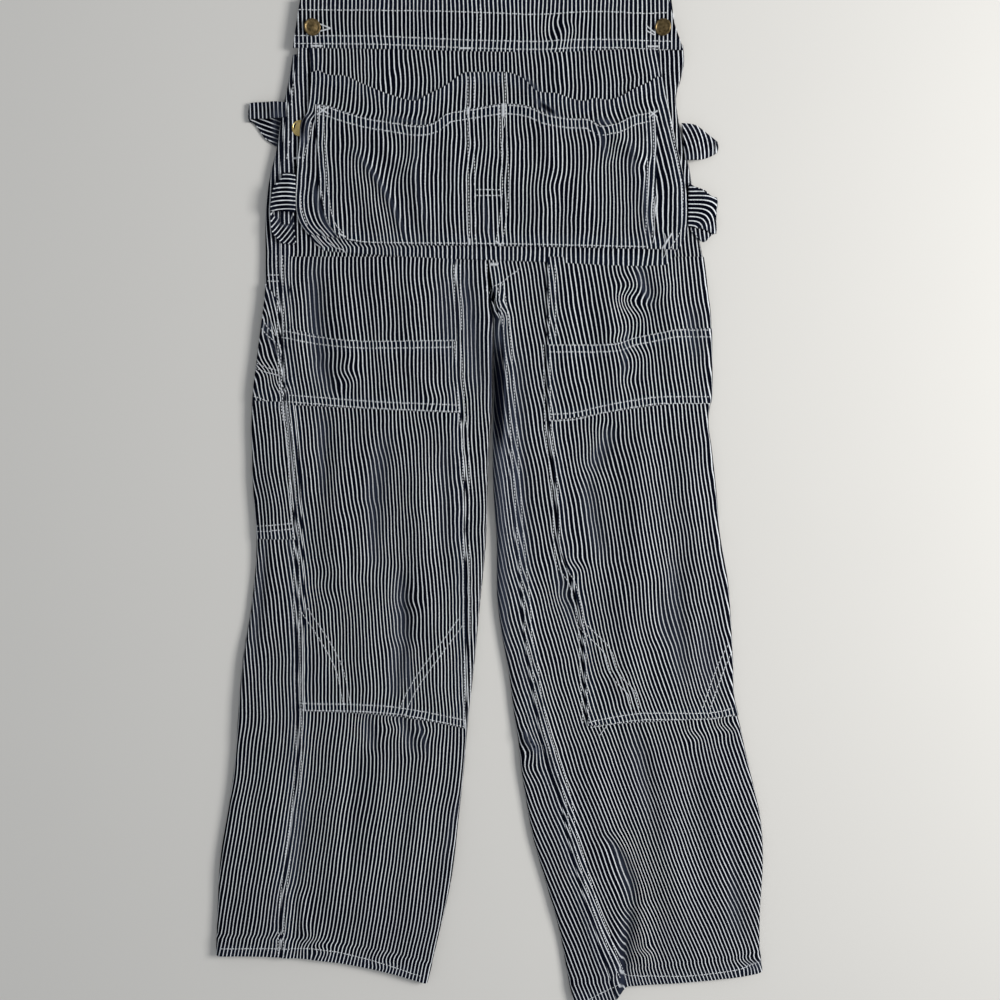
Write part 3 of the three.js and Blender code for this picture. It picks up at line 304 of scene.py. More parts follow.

# Painted shade: places of pieces darkened where they lie in shade in openings, gaps, pocket mouths and under
# raised edges: middle, half length, half width, slant and how dark the painted shade is
PAINTED_SHADE_COLUMNS = "x y length width slant depth"
PAINTED_SHADE_SPOTS = {
    "apron_rear_pocket_cloth": table(
        PAINTED_SHADE_COLUMNS,
        (62, -62, 13, 3.4, -33, 0.95), (-86, -74, 22, 2.2, -8, 0.5), (122, -75, 9, 3.0, -8, 0.6),
        (-194, -72, 5.5, 26, 0, 0.92),
    ),
    "apron_base_cloth": table(
        PAINTED_SHADE_COLUMNS,
        (46, -38, 12, 3.0, -40, 0.7), (-76, -52, 10, 2.2, 0, 0.5), (-188, -30, 3, 34, 0, 0.8),
    ),
    "hammer_loop_right_upper_cloth": table(PAINTED_SHADE_COLUMNS, (-220, -86, 6.5, 26, 0, 0.75)),
    "left_front": table(
        PAINTED_SHADE_COLUMNS,
        (11, -290, 6, 8, 4, 0.9), (13, -360, 6, 78, 0, 0.97), (13, -500, 7, 130, 2, 0.62),
        (46, -766, 9, 16, 30, 0.55),
    ),
    "left_back": table(PAINTED_SHADE_COLUMNS, (12, -360, 7, 76, 0, 0.97), (13, -520, 7, 140, 2, 0.62)),
    "right_front": table(PAINTED_SHADE_COLUMNS, (5, -345, 2.5, 50, 0, 0.9)),
    "right_back": table(
        PAINTED_SHADE_COLUMNS,
        (-224, -290, 8, 4, 0, 0.8), (-231, -100, 7, 26, 0, 0.5), (-216, -181, 10, 6, -15, 0.95),
        (-214, -310, 5, 80, 0, 0.5), (-213, -450, 4, 80, -2, 0.5),
    ),
    "hammer_loop_right_lower_cloth": table(PAINTED_SHADE_COLUMNS, (-214, -177.5, 8.5, 5, -10, 0.95)),
    "ruler_pocket_upper_cloth": table(
        PAINTED_SHADE_COLUMNS,
        (-231, -303, 22, 2.4, -61.7, 0.9), (-236, -287, 6, 3, 0, 0.8),
    ),
}

# Straps, buckles and buttons
STRAP_WIDTH = 38
STRAP_THICK = 1.8
STRAP_X = 100
SHOULDER_FOLD_Y = 610
BACK_TOP_Y = 430
BAR_Y = 375
PLATE_Z = BIB_TOP + 0.4
PLATE_THICK = 2
HOOK_RADIUS = 3.7
BUTTON_RADIUS = 8.6
BUTTON_HEIGHT = 3.4
BIB_BUTTON_Y = 318
WAIST_BUTTON_X = 182
WAIST_BUTTON_Y = 20
SIDE_BUTTON_X = -197.5
SIDE_BUTTON_Y = -81.5


def smooth(rows, at, column, key=None):
    """Value of a table's column at places along its key column, on a smooth curve."""
    key = key or next(iter(rows))
    order = np.argsort(rows[key])
    keys = rows[key][order]
    values = rows[column][order]
    secants = np.diff(values) / np.diff(keys)
    before = np.append(secants[:1], secants)
    after = np.append(secants, secants[-1:])
    steepest = 3 * np.minimum(np.abs(before), np.abs(after)) * (before * after > 0)
    slopes = np.clip(np.gradient(values, keys), -steepest, steepest)
    at = np.clip(at, keys[0], keys[-1])
    i = np.clip(np.searchsorted(keys, at, side="right") - 1, 0, len(keys) - 2)
    step = keys[i + 1] - keys[i]
    t = (at - keys[i]) / step
    from_start = (2 * t + 1) * (1 - t) ** 2 * values[i] + t * (1 - t) ** 2 * step * slopes[i]
    from_end = (3 - 2 * t) * t ** 2 * values[i + 1] + (t - 1) * t ** 2 * step * slopes[i + 1]
    return from_start + from_end


def ease(t):
    """0 below 0, 1 above 1 and a smooth step between."""
    t = np.clip(t, 0, 1)
    return t * t * (3 - 2 * t)


class Ripple:
    """Smooth unevenness between -1 and 1, with its own seed and spacing across and along."""

    def __init__(self, seed, across, along):
        self.lattice = np.random.default_rng(seed).uniform(-1, 1, (64, 64))
        self.across = across
        self.along = along

    def __call__(self, x, y):
        p = np.asarray(x) / self.across + 20
        q = np.asarray(y) / self.along + 40
        i = np.floor(p).astype(int)
        j = np.floor(q).astype(int)
        s = ease(p - i)
        t = ease(q - j)

        def corner(a, b):
            return self.lattice[(i + a) % 64, (j + b) % 64]

        low = corner(0, 0) * (1 - s) + corner(1, 0) * s
        high = corner(0, 1) * (1 - s) + corner(1, 1) * s
        return low * (1 - t) + high * t


BROAD = Ripple(3, 46, 120)
MIDDLE = Ripple(7, 21, 58)
CRUMPLE = Ripple(11, 9, 17)
SWAY = Ripple(13, 60, 75)
WAVER = Ripple(17, 26, 34)
SHIVER = Ripple(19, 9, 11)


def rows_of(rows):
    """A table's rows, each with its columns' names."""
    return [dict(zip(rows, values)) for values in zip(*rows.values())]


def beside(row, x, y):
    """Distance sideways from a bowed line, positive to the viewer's left of a line that runs down,
    and how strongly the line acts there along its length."""
    run_x = row["x1"] - row["x0"]
    run_y = row["y1"] - row["y0"]
    length = math.hypot(run_x, run_y)
    from_x = x - (row["x0"] + row["x1"]) / 2
    from_y = y - (row["y0"] + row["y1"]) / 2
    t = np.clip((from_x * run_x + from_y * run_y) / length ** 2 * 2, -1, 1)
    across = (from_x * run_y - from_y * run_x) / length - row["bow"] * (1 - t * t)
    return across, (1 - t ** 4) ** 2


def creases(rows, x, y):
    """Height and sideways pull that a table of creases gives at places."""
    height = np.zeros_like(x)
    pull = np.zeros_like(x)
    for row in rows_of(rows):
        across, reach = beside(row, x, y)
        height += FOLD_HEIGHT * row["height"] * reach * np.exp(-((across / row["width"]) ** 2))
        pull += 0.8 * row["pull"] * reach * np.exp(-((across / row["width"] / 2.6) ** 2))
    return height, pull


def tucks(rows, x, y):
    """How far stripes on one side of a tuck are drawn into it, and how dark the painted shade along it is at
    places.
    """
    drawn = np.zeros_like(x)
    deep = np.zeros_like(x)
    for row in rows_of(rows):
        across, reach = beside(row, x, y)
        if row["deepens"]:
            reach = np.clip((row["y0"] - y) / (row["y0"] - row["y1"]), 0, 1)
        side = across * np.sign(row["reach"])
        beyond = 0.5 + 0.5 * np.tanh(side / TUCK_WIDTH)
        drawn += row["drawn"] * reach * beyond * np.exp(-np.maximum(side, 0) / abs(row["reach"]))
        # Painted shade in the crease of the tuck
        deep = np.maximum(deep, row["deep"] * reach * np.exp(-((across / TUCK_WIDTH) ** 2)))
    return drawn, deep


def twists(rows, x, y):
    """Sideways shift of the stripes where the cloth is twisted."""
    shift = np.zeros_like(x)
    for row in rows_of(rows):
        from_x = (x - row["x"]) / row["wide"]
        from_y = (y - row["y"]) / row["high"]
        shift += row["turn"] * row["high"] * from_y * np.exp(-from_x ** 2 - from_y ** 2)
    return shift


def painted_shade_at(name, x, y):
    """How much painted shade places of a piece get where they lie in shade in its folds and openings, from 0
    to 1.
    """
    deep = np.zeros_like(x)
    for row in rows_of(PAINTED_SHADE_SPOTS.get(name, {})):
        cosine, sine = math.cos(math.radians(row["slant"])), math.sin(math.radians(row["slant"]))
        along = (x - row["x"]) * cosine + (y - row["y"]) * sine
        across = (y - row["y"]) * cosine - (x - row["x"]) * sine
        reach = np.exp(-((along / row["length"]) ** 4) - (across / row["width"]) ** 4)
        deep = np.maximum(deep, row["depth"] * reach)
    return deep


def stray(x, y, amount=1.0):
    """How far the stripes stray sideways from straight lines."""
    return amount * (1.5 * SWAY(x, y) + 1.3 * WAVER(x, y) + 0.3 * SHIVER(x, y))


def turned_edge(distance, lift):
    """Height of cloth with a turned-under, double-stitched edge, at a distance in from that edge."""
    d = np.maximum(distance, 0)
    rounded = np.sqrt(1 - (1 - np.minimum(d / TURN_RADIUS, 1)) ** 2)
    fold = SEAM_RISE * (1 - ease((d - SEAM_FOLD) / 2.2))
    first = 0.35 * np.exp(-(((d - STITCH_INSET) / 0.8) ** 2))
    second = 0.4 * np.exp(-(((d - STITCH_INSET - NEEDLE_GAUGE) / 0.9) ** 2))
    return rounded * (lift + fold) - first - second


def turned_edges(lift, *distances):
    """Height of cloth that is turned under along several edges, at distances in from them."""
    return np.minimum.reduce([turned_edge(distance, lift) for distance in distances])


def seam_wear(*distances):
    """How much seams and hems pucker and wear, at distances in from their edges."""
    return np.maximum.reduce([1 - ease((np.abs(distance) - SEAM_FOLD) / 3) for distance in distances])


class Leg:
    """One leg with its half of the hips: a tube folded flat on its round edges. Its hem's inner corner
    hangs lower by a length."""

    def __init__(self, sections, rows, grain, hand, foot, corner):
        self.sections, self.rows, self.grain = sections, rows, grain
        self.hand, self.foot, self.corner = hand, foot, corner

    def value(self, v, column):
        return smooth(self.sections, v + smooth(self.rows, v, "drop") / 2, column)

    def inward(self, edge):
        return -self.hand if edge == "side" else self.hand

    def closed(self, v):
        return ease((CROTCH_Y + CROTCH_EASE / 2 - v) / CROTCH_EASE)

    def radius(self, v, edge):
        return EDGE_RADIUS * np.ones_like(v) if edge == "side" else EDGE_RADIUS * self.closed(v) + 0.01

    def width(self, v):
        return np.abs(self.value(v, "side") - self.value(v, "inner"))

    def y_at(self, v, x):
        f = np.clip(np.abs(x - self.value(v, "side")) / self.width(v), 0, 1)
        plain = f ** smooth(self.rows, v, "spread")
        bent = ease((f - 0.08) * smooth(self.rows, v, "steep"))
        corner = self.corner * ease((f - CORNER_START) / 0.07) * ease((CORNER_TOP - v) / 85)
        shape = plain + (bent - plain) * smooth(self.rows, v, "bend")
        return v + smooth(self.rows, v, "drop") * shape - corner

    def top(self, x, y):
        """Height of the front's upper face."""
        height = creases(LEG_FOLDS, x, y)[0] + 0.8 * BROAD(x, y) + 0.55 * MIDDLE(x, y) + 0.2 * CRUMPLE(x, y)
        clear_of_apron = ease((APRON_HEM - y) / 44)
        return LIE_HEIGHT + height * clear_of_apron

    def skin(self, v, edge, a):
        """Places and outward directions at a distance in from a folded edge, over the front.
        Below 0 it goes round the edge, and then on along the underside."""
        inward = self.inward(edge)
        radius = self.radius(v, edge)
        tangent = self.value(v, edge) + inward * radius
        half_turn = math.pi * radius
        angle = math.pi / 2 + np.clip(a, -half_turn, 0) / radius
        under = np.maximum(-a - half_turn, 0)
        x = tangent + inward * (np.maximum(a, 0) + under - radius * np.cos(angle))
        y = self.y_at(v, x)
        high = self.top(x, y) / 2
        z = np.where(under > 0, 0, high + high * np.sin(angle))
        place = np.stack([x, y, z], axis=-1)
        out = np.stack([-inward * np.cos(angle), np.zeros_like(angle), np.sin(angle)], axis=-1)
        return place, out, tangent + inward * a

    def weave(self, x, y, shift):
        """Where a place is on the cloth, with the grain leaning as the leg lies."""
        scale = 4.3 / smooth(self.grain, y, "pitch")
        pull = creases(LEG_FOLDS, x, y)[1] + tucks(LEG_TUCKS, x, y)[0] + twists(LEG_TWISTS, x, y)
        amount = 1 - 0.45 * ease((SHIN_TOP - y) / 70)
        across = (x - smooth(self.grain, y, "line")) * scale + pull + stray(x, y, amount) + shift
        return np.stack([across, y], axis=-1)

    def hem_height(self, v):
        """Height that the turned hem adds near the foot."""
        d = v - self.foot
        ridge = 0.9 * (1 - ease((d - HEM_FOLD) / 2))
        return ridge - 0.5 * np.exp(-(((d - HEM_FOLD - 0.3) / 1.1) ** 2)) * (d > 0)

    def hem_jog(self, v):
        """How far the hem's stripes lie out of line with those above its fold."""
        return 1.5 * (1 - ease((v - self.foot - HEM_FOLD + 1.5) / 3))


RIGHT = Leg(RIGHT_LEG, RIGHT_ROWS, RIGHT_GRAIN, -1, -991, 0)
LEFT = Leg(LEFT_LEG, LEFT_ROWS, LEFT_GRAIN, 1, -1009, 16)


def front_form(leg, seam_on, shift):
    """A leg's front, from the seam that shows to the middle of the other folded edge."""
    other = "inner" if seam_on == "side" else "side"

    def form(s, v):
        flat = np.abs(leg.value(v, "seam") - leg.value(v, other)) - leg.radius(v, other) + SEAM_LAP
        run = s * (flat + math.pi / 2 * leg.radius(v, other))
        place, out, flat_x = leg.skin(v, other, flat - run)
        rise = turned_edge(run, FRONT_LIFT) - FRONT_LIFT + FRONT_LIFT * (1 - ease((run - SEAM_FOLD) / 3))
        place = place + out * (rise + leg.hem_height(v))[:, None]
        grain = leg.weave(flat_x, place[:, 1], shift + leg.hem_jog(v))
        return place, grain, seam_wear(run, v - leg.foot)

    return form


def back_form(leg, seam_on, shift):
    """A leg's back, from the seam that shows, round the edge, underneath, and to the other edge."""
    other = "inner" if seam_on == "side" else "side"

    def form(s, v):
        edge_x = leg.value(v, seam_on)
        radius = leg.radius(v, seam_on)
        closed = np.ones_like(v) if seam_on == "side" else leg.closed(v)
        start = (np.abs(leg.value(v, "seam") - edge_x) - radius) * closed
        start = start - (math.pi * radius + 0.05) * (1 - closed)
        other_radius = leg.radius(v, other)
        shown = start + math.pi * radius
        under = leg.width(v) - radius - other_radius
        tail = math.pi / 2 * other_radius
        run = np.where(s < 0.5, s / 0.5 * shown, shown + (s - 0.5) / 0.5 * (under + tail))
        near, near_out, flat_x = leg.skin(v, seam_on, start - run)
        far, far_out, _ = leg.skin(v, other, -math.pi * other_radius - (shown + under - run))
        first = (run < shown + under / 2)[:, None]
        out = np.where(first, near_out, far_out)
        upper = np.clip(out[:, 2], 0, 1)
        place = np.where(first, near, far) + out * ((leg.hem_height(v) - 0.3) * upper)[:, None]
        grain = leg.weave(flat_x, place[:, 1], shift + leg.hem_jog(v))
        return place, grain, seam_wear(run, v - leg.foot)

    return form


def patch_form(leg, head, foot, lift, shift, head_edge=True, foot_edge=True, reach=1.0):
    """A patch on a leg's front, from the outseam or the folded outer edge to the patches' inner edge."""

    def form(s, v):
        radius = leg.radius(v, "side")
        side = leg.value(v, "side")
        inner = np.abs(leg.value(v, "patch") - side) - radius + reach
        outer = -math.pi / 2 * radius
        if leg.hand < 0:
            outer = np.abs(leg.value(v, "seam") - side) - radius + 0.6
        a = inner + (outer - inner) * s
        place, out, flat_x = leg.skin(v, "side", a)
        turned = ((True, inner - a), (leg.hand < 0, a - outer), (head_edge, head - v), (foot_edge, v - foot))
        edges = [distance for used, distance in turned if used]
        place = place + out * turned_edges(lift, *edges)[:, None]
        return place, leg.weave(flat_x, place[:, 1], shift), seam_wear(*edges)

    return form


def ruler_form(head, foot, lift, shift, lean, fan):
    """A length of the ruler pocket, on the back's strip by the right outseam."""

    def form(s, v):
        radius = RIGHT.radius(v, "side")
        inner = np.abs(RIGHT.value(v, "seam") - RIGHT.value(v, "side")) - radius - 2.2
        outer = -math.pi / 4 * radius
        a = inner + (outer - inner) * s
        slant = lean * s * ease((v - foot) / (head - foot))
        place, out, flat_x = RIGHT.skin(v + slant, "side", a)
        rise = turned_edges(lift, inner - a, a - outer, head - v, v - foot)
        place = place + out * rise[:, None]
        fanned = fan * (place[:, 1] - foot)
        return place, RIGHT.weave(flat_x + fanned, place[:, 1], shift), seam_wear(head - v, v - foot)

    return form


def apron_place(s, t, head, foot, left, right):
    """Places on the apron between two curves across it and two edges of it."""

    def row(x):
        return head(x) + (foot(x) - head(x)) * t

    low = smooth(APRON, row(-190 * np.ones_like(s)), left)
    high = smooth(APRON, row(190 * np.ones_like(s)), right)
    x = low + (high - low) * s
    return x, row(x), s * (high - low), (1 - s) * (high - low)


def curve_y(rows):
    """Function that tells a curve's y at places along x."""
    return lambda x: smooth(rows, x, "y")


def level(y):
    """Function for a line at one y."""
    return lambda x: y * np.ones_like(x)


def apron_weave(x, y, shift, sides):
    """The grain of the apron's cloth; sides is how much it runs along the apron's slanted edges."""
    left = smooth(APRON, np.maximum(y, APRON_HEM), "left")
    right = smooth(APRON, np.maximum(y, -186), "right")
    share = np.clip((x + 190) / 380, 0, 1)
    lean = (left + 186) * (1 - share) ** 3 + (right - 177) * share ** 2
    pull = creases(APRON_FOLDS, x, y)[1] + tucks(APRON_TUCKS, x, y)[0]
    across = x - sides * lean + pull + stray(x + 300, y, 1.25) + shift
    return np.stack([across, y], axis=-1)


def apron_form(head, foot, left, right, lift, softness, shift, sides, mouth=False):
    """A layer of the nail apron."""

    def form(s, t):
        x, y, from_left, from_right = apron_place(s, t, head, foot, left, right)
        from_head = head(x) - y
        folds = creases(APRON_FOLDS, x, y)[0]
        uneven = 0.5 * BROAD(x + 200, y) + 0.35 * MIDDLE(x + 200, y) + 0.15 * CRUMPLE(x, y)
        z = LIE_HEIGHT + softness * (folds + uneven)
        edges = [from_left, from_right, y - foot(x)]
        if mouth:
            edges.append(from_head)
            for gape in rows_of(MOUTH_GAPES):
                near = np.exp(-(((x - gape["x"]) / gape["width"]) ** 2))
                z = z + gape["height"] * near * np.exp(-from_head / 13) * softness
        else:
            z = z - 1.4 * (1 - ease(from_head / 9))
        place = np.stack([x, y, z + turned_edges(lift, *edges)], axis=-1)
        return place, apron_weave(x, y, shift, sides), seam_wear(*edges)

    return form


def flat_form(rows, head, foot, top, folds, shift, edges, rise_at_foot=True):
    """A flat panel above the waist; edges is its left and right columns."""

    def form(s, t):
        y = head + (foot - head) * t
        low = smooth(rows, y, edges[0]) * (1 if edges[0] != "half" else -1)
        high = smooth(rows, y, edges[1])
        x = low + (high - low) * s
        height, pull = creases(folds, x, y)
        from_side = np.minimum(s, 1 - s) * (high - low)
        turned = [from_side, head - y] + ([y - foot] if rise_at_foot else [])
        soft = ease(from_side / 14) * (height + 0.5 * BROAD(x, y) + 0.3 * MIDDLE(x, y))
        z = top + turned_edges(1.0, *turned) - 1.0 + soft - SEAM_RISE
        grain = np.stack([x + pull + stray(x, y, 0.6) + shift, y], axis=-1)
        return np.stack([x, y, z], axis=-1), grain, seam_wear(from_side, head - y)

    return form


def waistband_form(s, t):
    """The front waistband, whose lower edge laps the apron's top."""
    y0 = WAISTBAND_HEAD * (1 - t)
    low = smooth(WAISTBAND, y0, "left")
    high = smooth(WAISTBAND, y0, "right")
    x = low + (high - low) * s
    foot = smooth(WAISTBAND_FOOT, x, "y")
    y = foot + (WAISTBAND_HEAD - foot) * (1 - t)
    height, pull = creases(WAIST_FOLDS, x, y)
    from_side = np.minimum(s, 1 - s) * (high - low)
    rise = turned_edges(WAISTBAND_LIFT, from_side, y - foot, WAISTBAND_HEAD - y) - WAISTBAND_LIFT
    z = WAISTBAND_TOP + rise + height + 0.35 * BROAD(x, y) + 0.25 * MIDDLE(x, y)
    grain = np.stack([x + pull + stray(x + 90, y, 0.7) + 1.3, y], axis=-1)
    return np.stack([x, y, z], axis=-1), grain, seam_wear(y - foot, WAISTBAND_HEAD - y)


def stops(length, step, start=True, end=True):
    """Shares of a length for a grid's rows, closer together by the edges that are turned under."""
    close = np.array([0, 0.25, 0.7, 1.3, 2.0, 3.0, 4.4])
    first = close if start else np.array([0.0])
    last = length - close[::-1] if end else np.array([length])
    count = max(2, int(round((last[0] - first[-1]) / step)))
    middle = np.linspace(first[-1], last[0], count + 1)[1:-1]
    return np.concatenate([first, middle, last]) / length


def rows_down(head, foot, step, start=True, end=True):
    """Heights of a grid's rows from a head down to a foot."""
    return head + (foot - head) * stops(head - foot, step, start, end)


def shade_smooth(mesh):
    """Smooth shading on all of a mesh's faces."""
    mesh.polygons.foreach_set("use_smooth", np.ones(len(mesh.polygons), dtype=bool))


def finished_mesh(bm, name):
    """Mesh of a bmesh, which is freed."""
    mesh = bpy.data.meshes.new(name)
    bm.to_mesh(mesh)
    bm.free()
    return mesh


def read_values(items, name, width, kind=float):
    """Array of one attribute of a mesh's vertices, loops or faces."""
    values = np.empty(len(items) * width, dtype=kind)
    items.foreach_get(name, values)
    return values.reshape(-1, width)


def cloth_mesh(name, form, across, along, folds=None, sharp=None, faces_up=True):
    """Mesh of a sheet of cloth: a grid whose vertices are moved to the form, with its own UV map.
    Its attributes tell how worn it is, and how much painted shade it gets in folds, tucks and openings."""
    bm = bmesh.new()
    bmesh.ops.create_grid(bm, x_segments=len(across) - 1, y_segments=len(along) - 1, size=0.5)
    mesh = finished_mesh(bm, name)
    flat = read_values(mesh.vertices, "co", 3)
    i = np.rint((flat[:, 0] + 0.5) * (len(across) - 1)).astype(int)
    j = np.rint((flat[:, 1] + 0.5) * (len(along) - 1)).astype(int)
    place, grain, wear = form(np.asarray(across)[i], np.asarray(along)[j])
    mesh.vertices.foreach_set("co", (place * MM).ravel())
    corners = read_values(mesh.loops, "vertex_index", 1, np.int32).ravel()
    mesh.uv_layers.new(name="cloth").data.foreach_set("uv", (grain[corners] * MM).ravel())
    x, y = place[:, 0], place[:, 1]
    deep = painted_shade_at(name, x, y)
    # Painted shade in the troughs of creases and along the lines of tucks
    if folds:
        deep = np.maximum(deep, np.clip(-creases(folds, x, y)[0] / 7, 0, 0.32))
    if sharp:
        deep = np.maximum(deep, tucks(sharp, x, y)[1])
    for attribute, values in (("wear", wear), ("depth", deep)):
        mesh.attributes.new(attribute, "FLOAT", "POINT").data.foreach_set("value", values)
    mesh.update()
    if (read_values(mesh.polygons, "normal", 3)[:, 2].sum() > 0) != faces_up:
        mesh.flip_normals()
    shade_smooth(mesh)
    return mesh


def add_piece(name, mesh, material, nodes=()):
    """Object for a finished mesh, riding on the garment's one body."""
    obj = bpy.data.objects.new(name, mesh)
    bpy.context.scene.collection.objects.link(obj)
    if material:
        mesh.materials.clear()
        mesh.materials.append(material)
    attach(obj, "root")
    if nodes:
        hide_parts(*nodes)
    return obj


CLOTH_PIECES = []


def add_cloth(name, mesh, node=None):
    """A piece of striped cotton with its thickness."""
    settings = bpy.context.scene.overalls_cloth
    obj = add_piece(name, mesh, striped_cotton(), (node,) if node else ())
    solidify = obj.modifiers.new("Thickness", "SOLIDIFY")
    solidify.thickness = settings.thickness
    solidify.offset = -1
    CLOTH_PIECES.append(obj)
    return obj


# Materials

class Shading:
    """One new material and the nodes added to it."""

    def __init__(self, name, roughness):
        self.material = bpy.data.materials.new(name)
        self.material.use_nodes = True
        self.nodes = self.material.node_tree.nodes
        self.shader = self.nodes["Principled BSDF"].inputs
        self.shader["Roughness"].default_value = roughness

    def feed(self, socket, value):
        """Link an output to a socket, or set the socket's own value."""
        if isinstance(value, bpy.types.NodeSocket):
            self.material.node_tree.links.new(value, socket)
        else:
            socket.default_value = value

    def node(self, kind, inputs, output, **settings):
        """Output of a new node with its inputs and settings."""
        node = self.nodes.new(kind)
        for name, value in settings.items():
            setattr(node, name, value)
        for name, value in inputs.items():
            self.feed(node.inputs[name], value)
        return node.outputs[output]

    def math(self, operation, *values):
        return self.node("ShaderNodeMath", dict(enumerate(values)), 0, operation=operation)

    def mix(self, factor, first, second, blend="MIX"):
        return self.node("ShaderNodeMixRGB", {0: factor, 1: first, 2: second}, 0, blend_type=blend)

    def ranged(self, value, start, end, low=0.0, high=1.0, kind="LINEAR"):
        inputs = {"Value": value, "From Min": start, "From Max": end, "To Min": low, "To Max": high}
        return self.node("ShaderNodeMapRange", inputs, "Result", interpolation_type=kind)

    def attribute(self, name):
        return self.node("ShaderNodeAttribute", {}, "Fac", attribute_name=name)

    def place(self):
        return self.node("ShaderNodeTexCoord", {}, "Object")

    def stretched(self, vector, scale):
        return self.node("ShaderNodeMapping", {"Vector": vector, "Scale": scale}, "Vector")

    def noise(self, vector, scale, detail=2.0):
        inputs = {"Vector": vector, "Scale": scale, "Detail": detail}
        return self.node("ShaderNodeTexNoise", inputs, "Fac")

    def bump(self, height, strength, distance, normal=None):
        inputs = {"Height": height, "Strength": strength, "Distance": distance}
        if normal:
            inputs["Normal"] = normal
        return self.node("ShaderNodeBump", inputs, "Normal")


def opaque(colour, share=1.0):
    """A colour's share with full alpha."""
    return (*[share * c for c in colour], 1)


def striped_cotton():
    """Dark indigo twill with fine off-white stripes along the grain."""
    found = bpy.data.materials.get("striped_twill")
    if found:
        return found
    settings = bpy.context.scene.overalls_cloth
    twill = Shading("striped_twill", 0.92)
    uv = twill.node("ShaderNodeUVMap", {}, "UV", uv_map="cloth")
    split = twill.node("ShaderNodeSeparateXYZ", {"Vector": uv}, "X").node.outputs
    wear = twill.attribute("wear")
    depth = twill.attribute("depth")

    # Stripes, with edges as ragged as the yarns that make them
    yarn = twill.noise(twill.stretched(uv, (1, 0.35, 1)), 2600, 1.0)
    ragged = twill.math("MULTIPLY", twill.math("SUBTRACT", yarn, 0.5), 0.0009)
    turns = twill.math("DIVIDE", twill.math("ADD", split["X"], ragged), settings.pitch)
    from_middle = twill.math("ABSOLUTE", twill.math("SUBTRACT", twill.math("FRACT", turns), 0.5))
    half = settings.white / 2
    stripe = twill.ranged(from_middle, half + 0.07, half - 0.05, kind="SMOOTHSTEP")

    # Twill lines, and slow changes of tone where the cloth has faded
    slant = twill.math("ADD", split["X"], split["Y"])
    lines = twill.math("SINE", twill.math("MULTIPLY", slant, 2 * math.pi / 0.0011))
    fade = twill.noise(uv, 14, 3.0)
    rubbed = twill.math("MULTIPLY", wear, fade)
    ground = twill.mix(rubbed, opaque(settings.ground), opaque(settings.worn_ground))
    white = twill.mix(fade, opaque(settings.stripe), opaque(settings.stripe, 0.72))
    tone = twill.ranged(lines, -1, 1, 0.82, 1.06)
    cloth = twill.mix(1, twill.mix(stripe, ground, white), tone, "MULTIPLY")

    # Painted shade: valleys of folds, lines of tucks and openings are darkened towards the dusky fold colour,
    # and towards the dark ground where the painted shade is strongest
    darkest = twill.ranged(depth, 0.6, 0.85)
    fold = twill.mix(darkest, opaque(settings.fold), opaque(settings.ground))
    twill.feed(twill.shader["Base Color"], twill.mix(depth, cloth, fold))

    # Weave relief, and puckers along the seams
    weave = twill.bump(twill.math("ADD", lines, yarn), 0.35, 0.00012)
    pucker = twill.bump(twill.noise(uv, 150, 1.0), twill.math("MULTIPLY", wear, 0.75), 0.0022, weave)
    crumple = twill.bump(twill.noise(uv, 55, 3.0), 0.35, 0.003, pucker)
    twill.feed(twill.shader["Normal"], crumple)
    twill.shader["Specular IOR Level"].default_value = 0.03
    return twill.material


def sewing_thread():
    """Off-white topstitching thread, with the twist of its plies."""
    found = bpy.data.materials.get("sewing_thread")
    if found:
        return found
    thread = Shading("sewing_thread", 0.75)
    ply = thread.noise(thread.place(), 1800)
    light = bpy.context.scene.overalls_thread.colour
    thread.feed(thread.shader["Base Color"], thread.mix(ply, opaque(light, 0.75), opaque(light)))
    thread.feed(thread.shader["Normal"], thread.bump(ply, 0.3, 0.0002))
    return thread.material


def metal(name, colour, tarnish, roughness, scale):
    """Metal with tarnish in uneven patches and fine scratches."""
    found = bpy.data.materials.get(name)
    if found:
        return found
    shading = Shading(name, roughness)
    place = shading.place()
    patches = shading.ranged(shading.noise(place, scale, 4.0), 0.35, 0.7)
    shading.feed(shading.shader["Base Color"], shading.mix(patches, opaque(colour), opaque(colour, tarnish)))
    scratches = shading.noise(shading.stretched(place, (1, 12, 1)), 900)
    shading.feed(shading.shader["Normal"], shading.bump(scratches, 0.12, 0.0002))
    shading.shader["Metallic"].default_value = 1
    return shading.material


def aged_brass():
    return metal("brass_with_tarnish", bpy.context.scene.overalls_metal.aged_brass, 0.35, 0.4, 420)


def bright_brass():
    return metal("polished_brass", bpy.context.scene.overalls_metal.bright_brass, 0.6, 0.28, 300)


def steel():
    return metal("satin_steel", bpy.context.scene.overalls_metal.steel, 0.7, 0.34, 260)


def pale_floor():
    """Plain pale studio floor."""
    floor = Shading("pale_floor", 0.95)
    base = bpy.context.scene.overalls_stage.floor
    grain = floor.noise(floor.place(), 5)
    floor.feed(floor.shader["Base Color"], floor.mix(grain, opaque(base), opaque(base, 0.98)))
    return floor.material


# Stitching

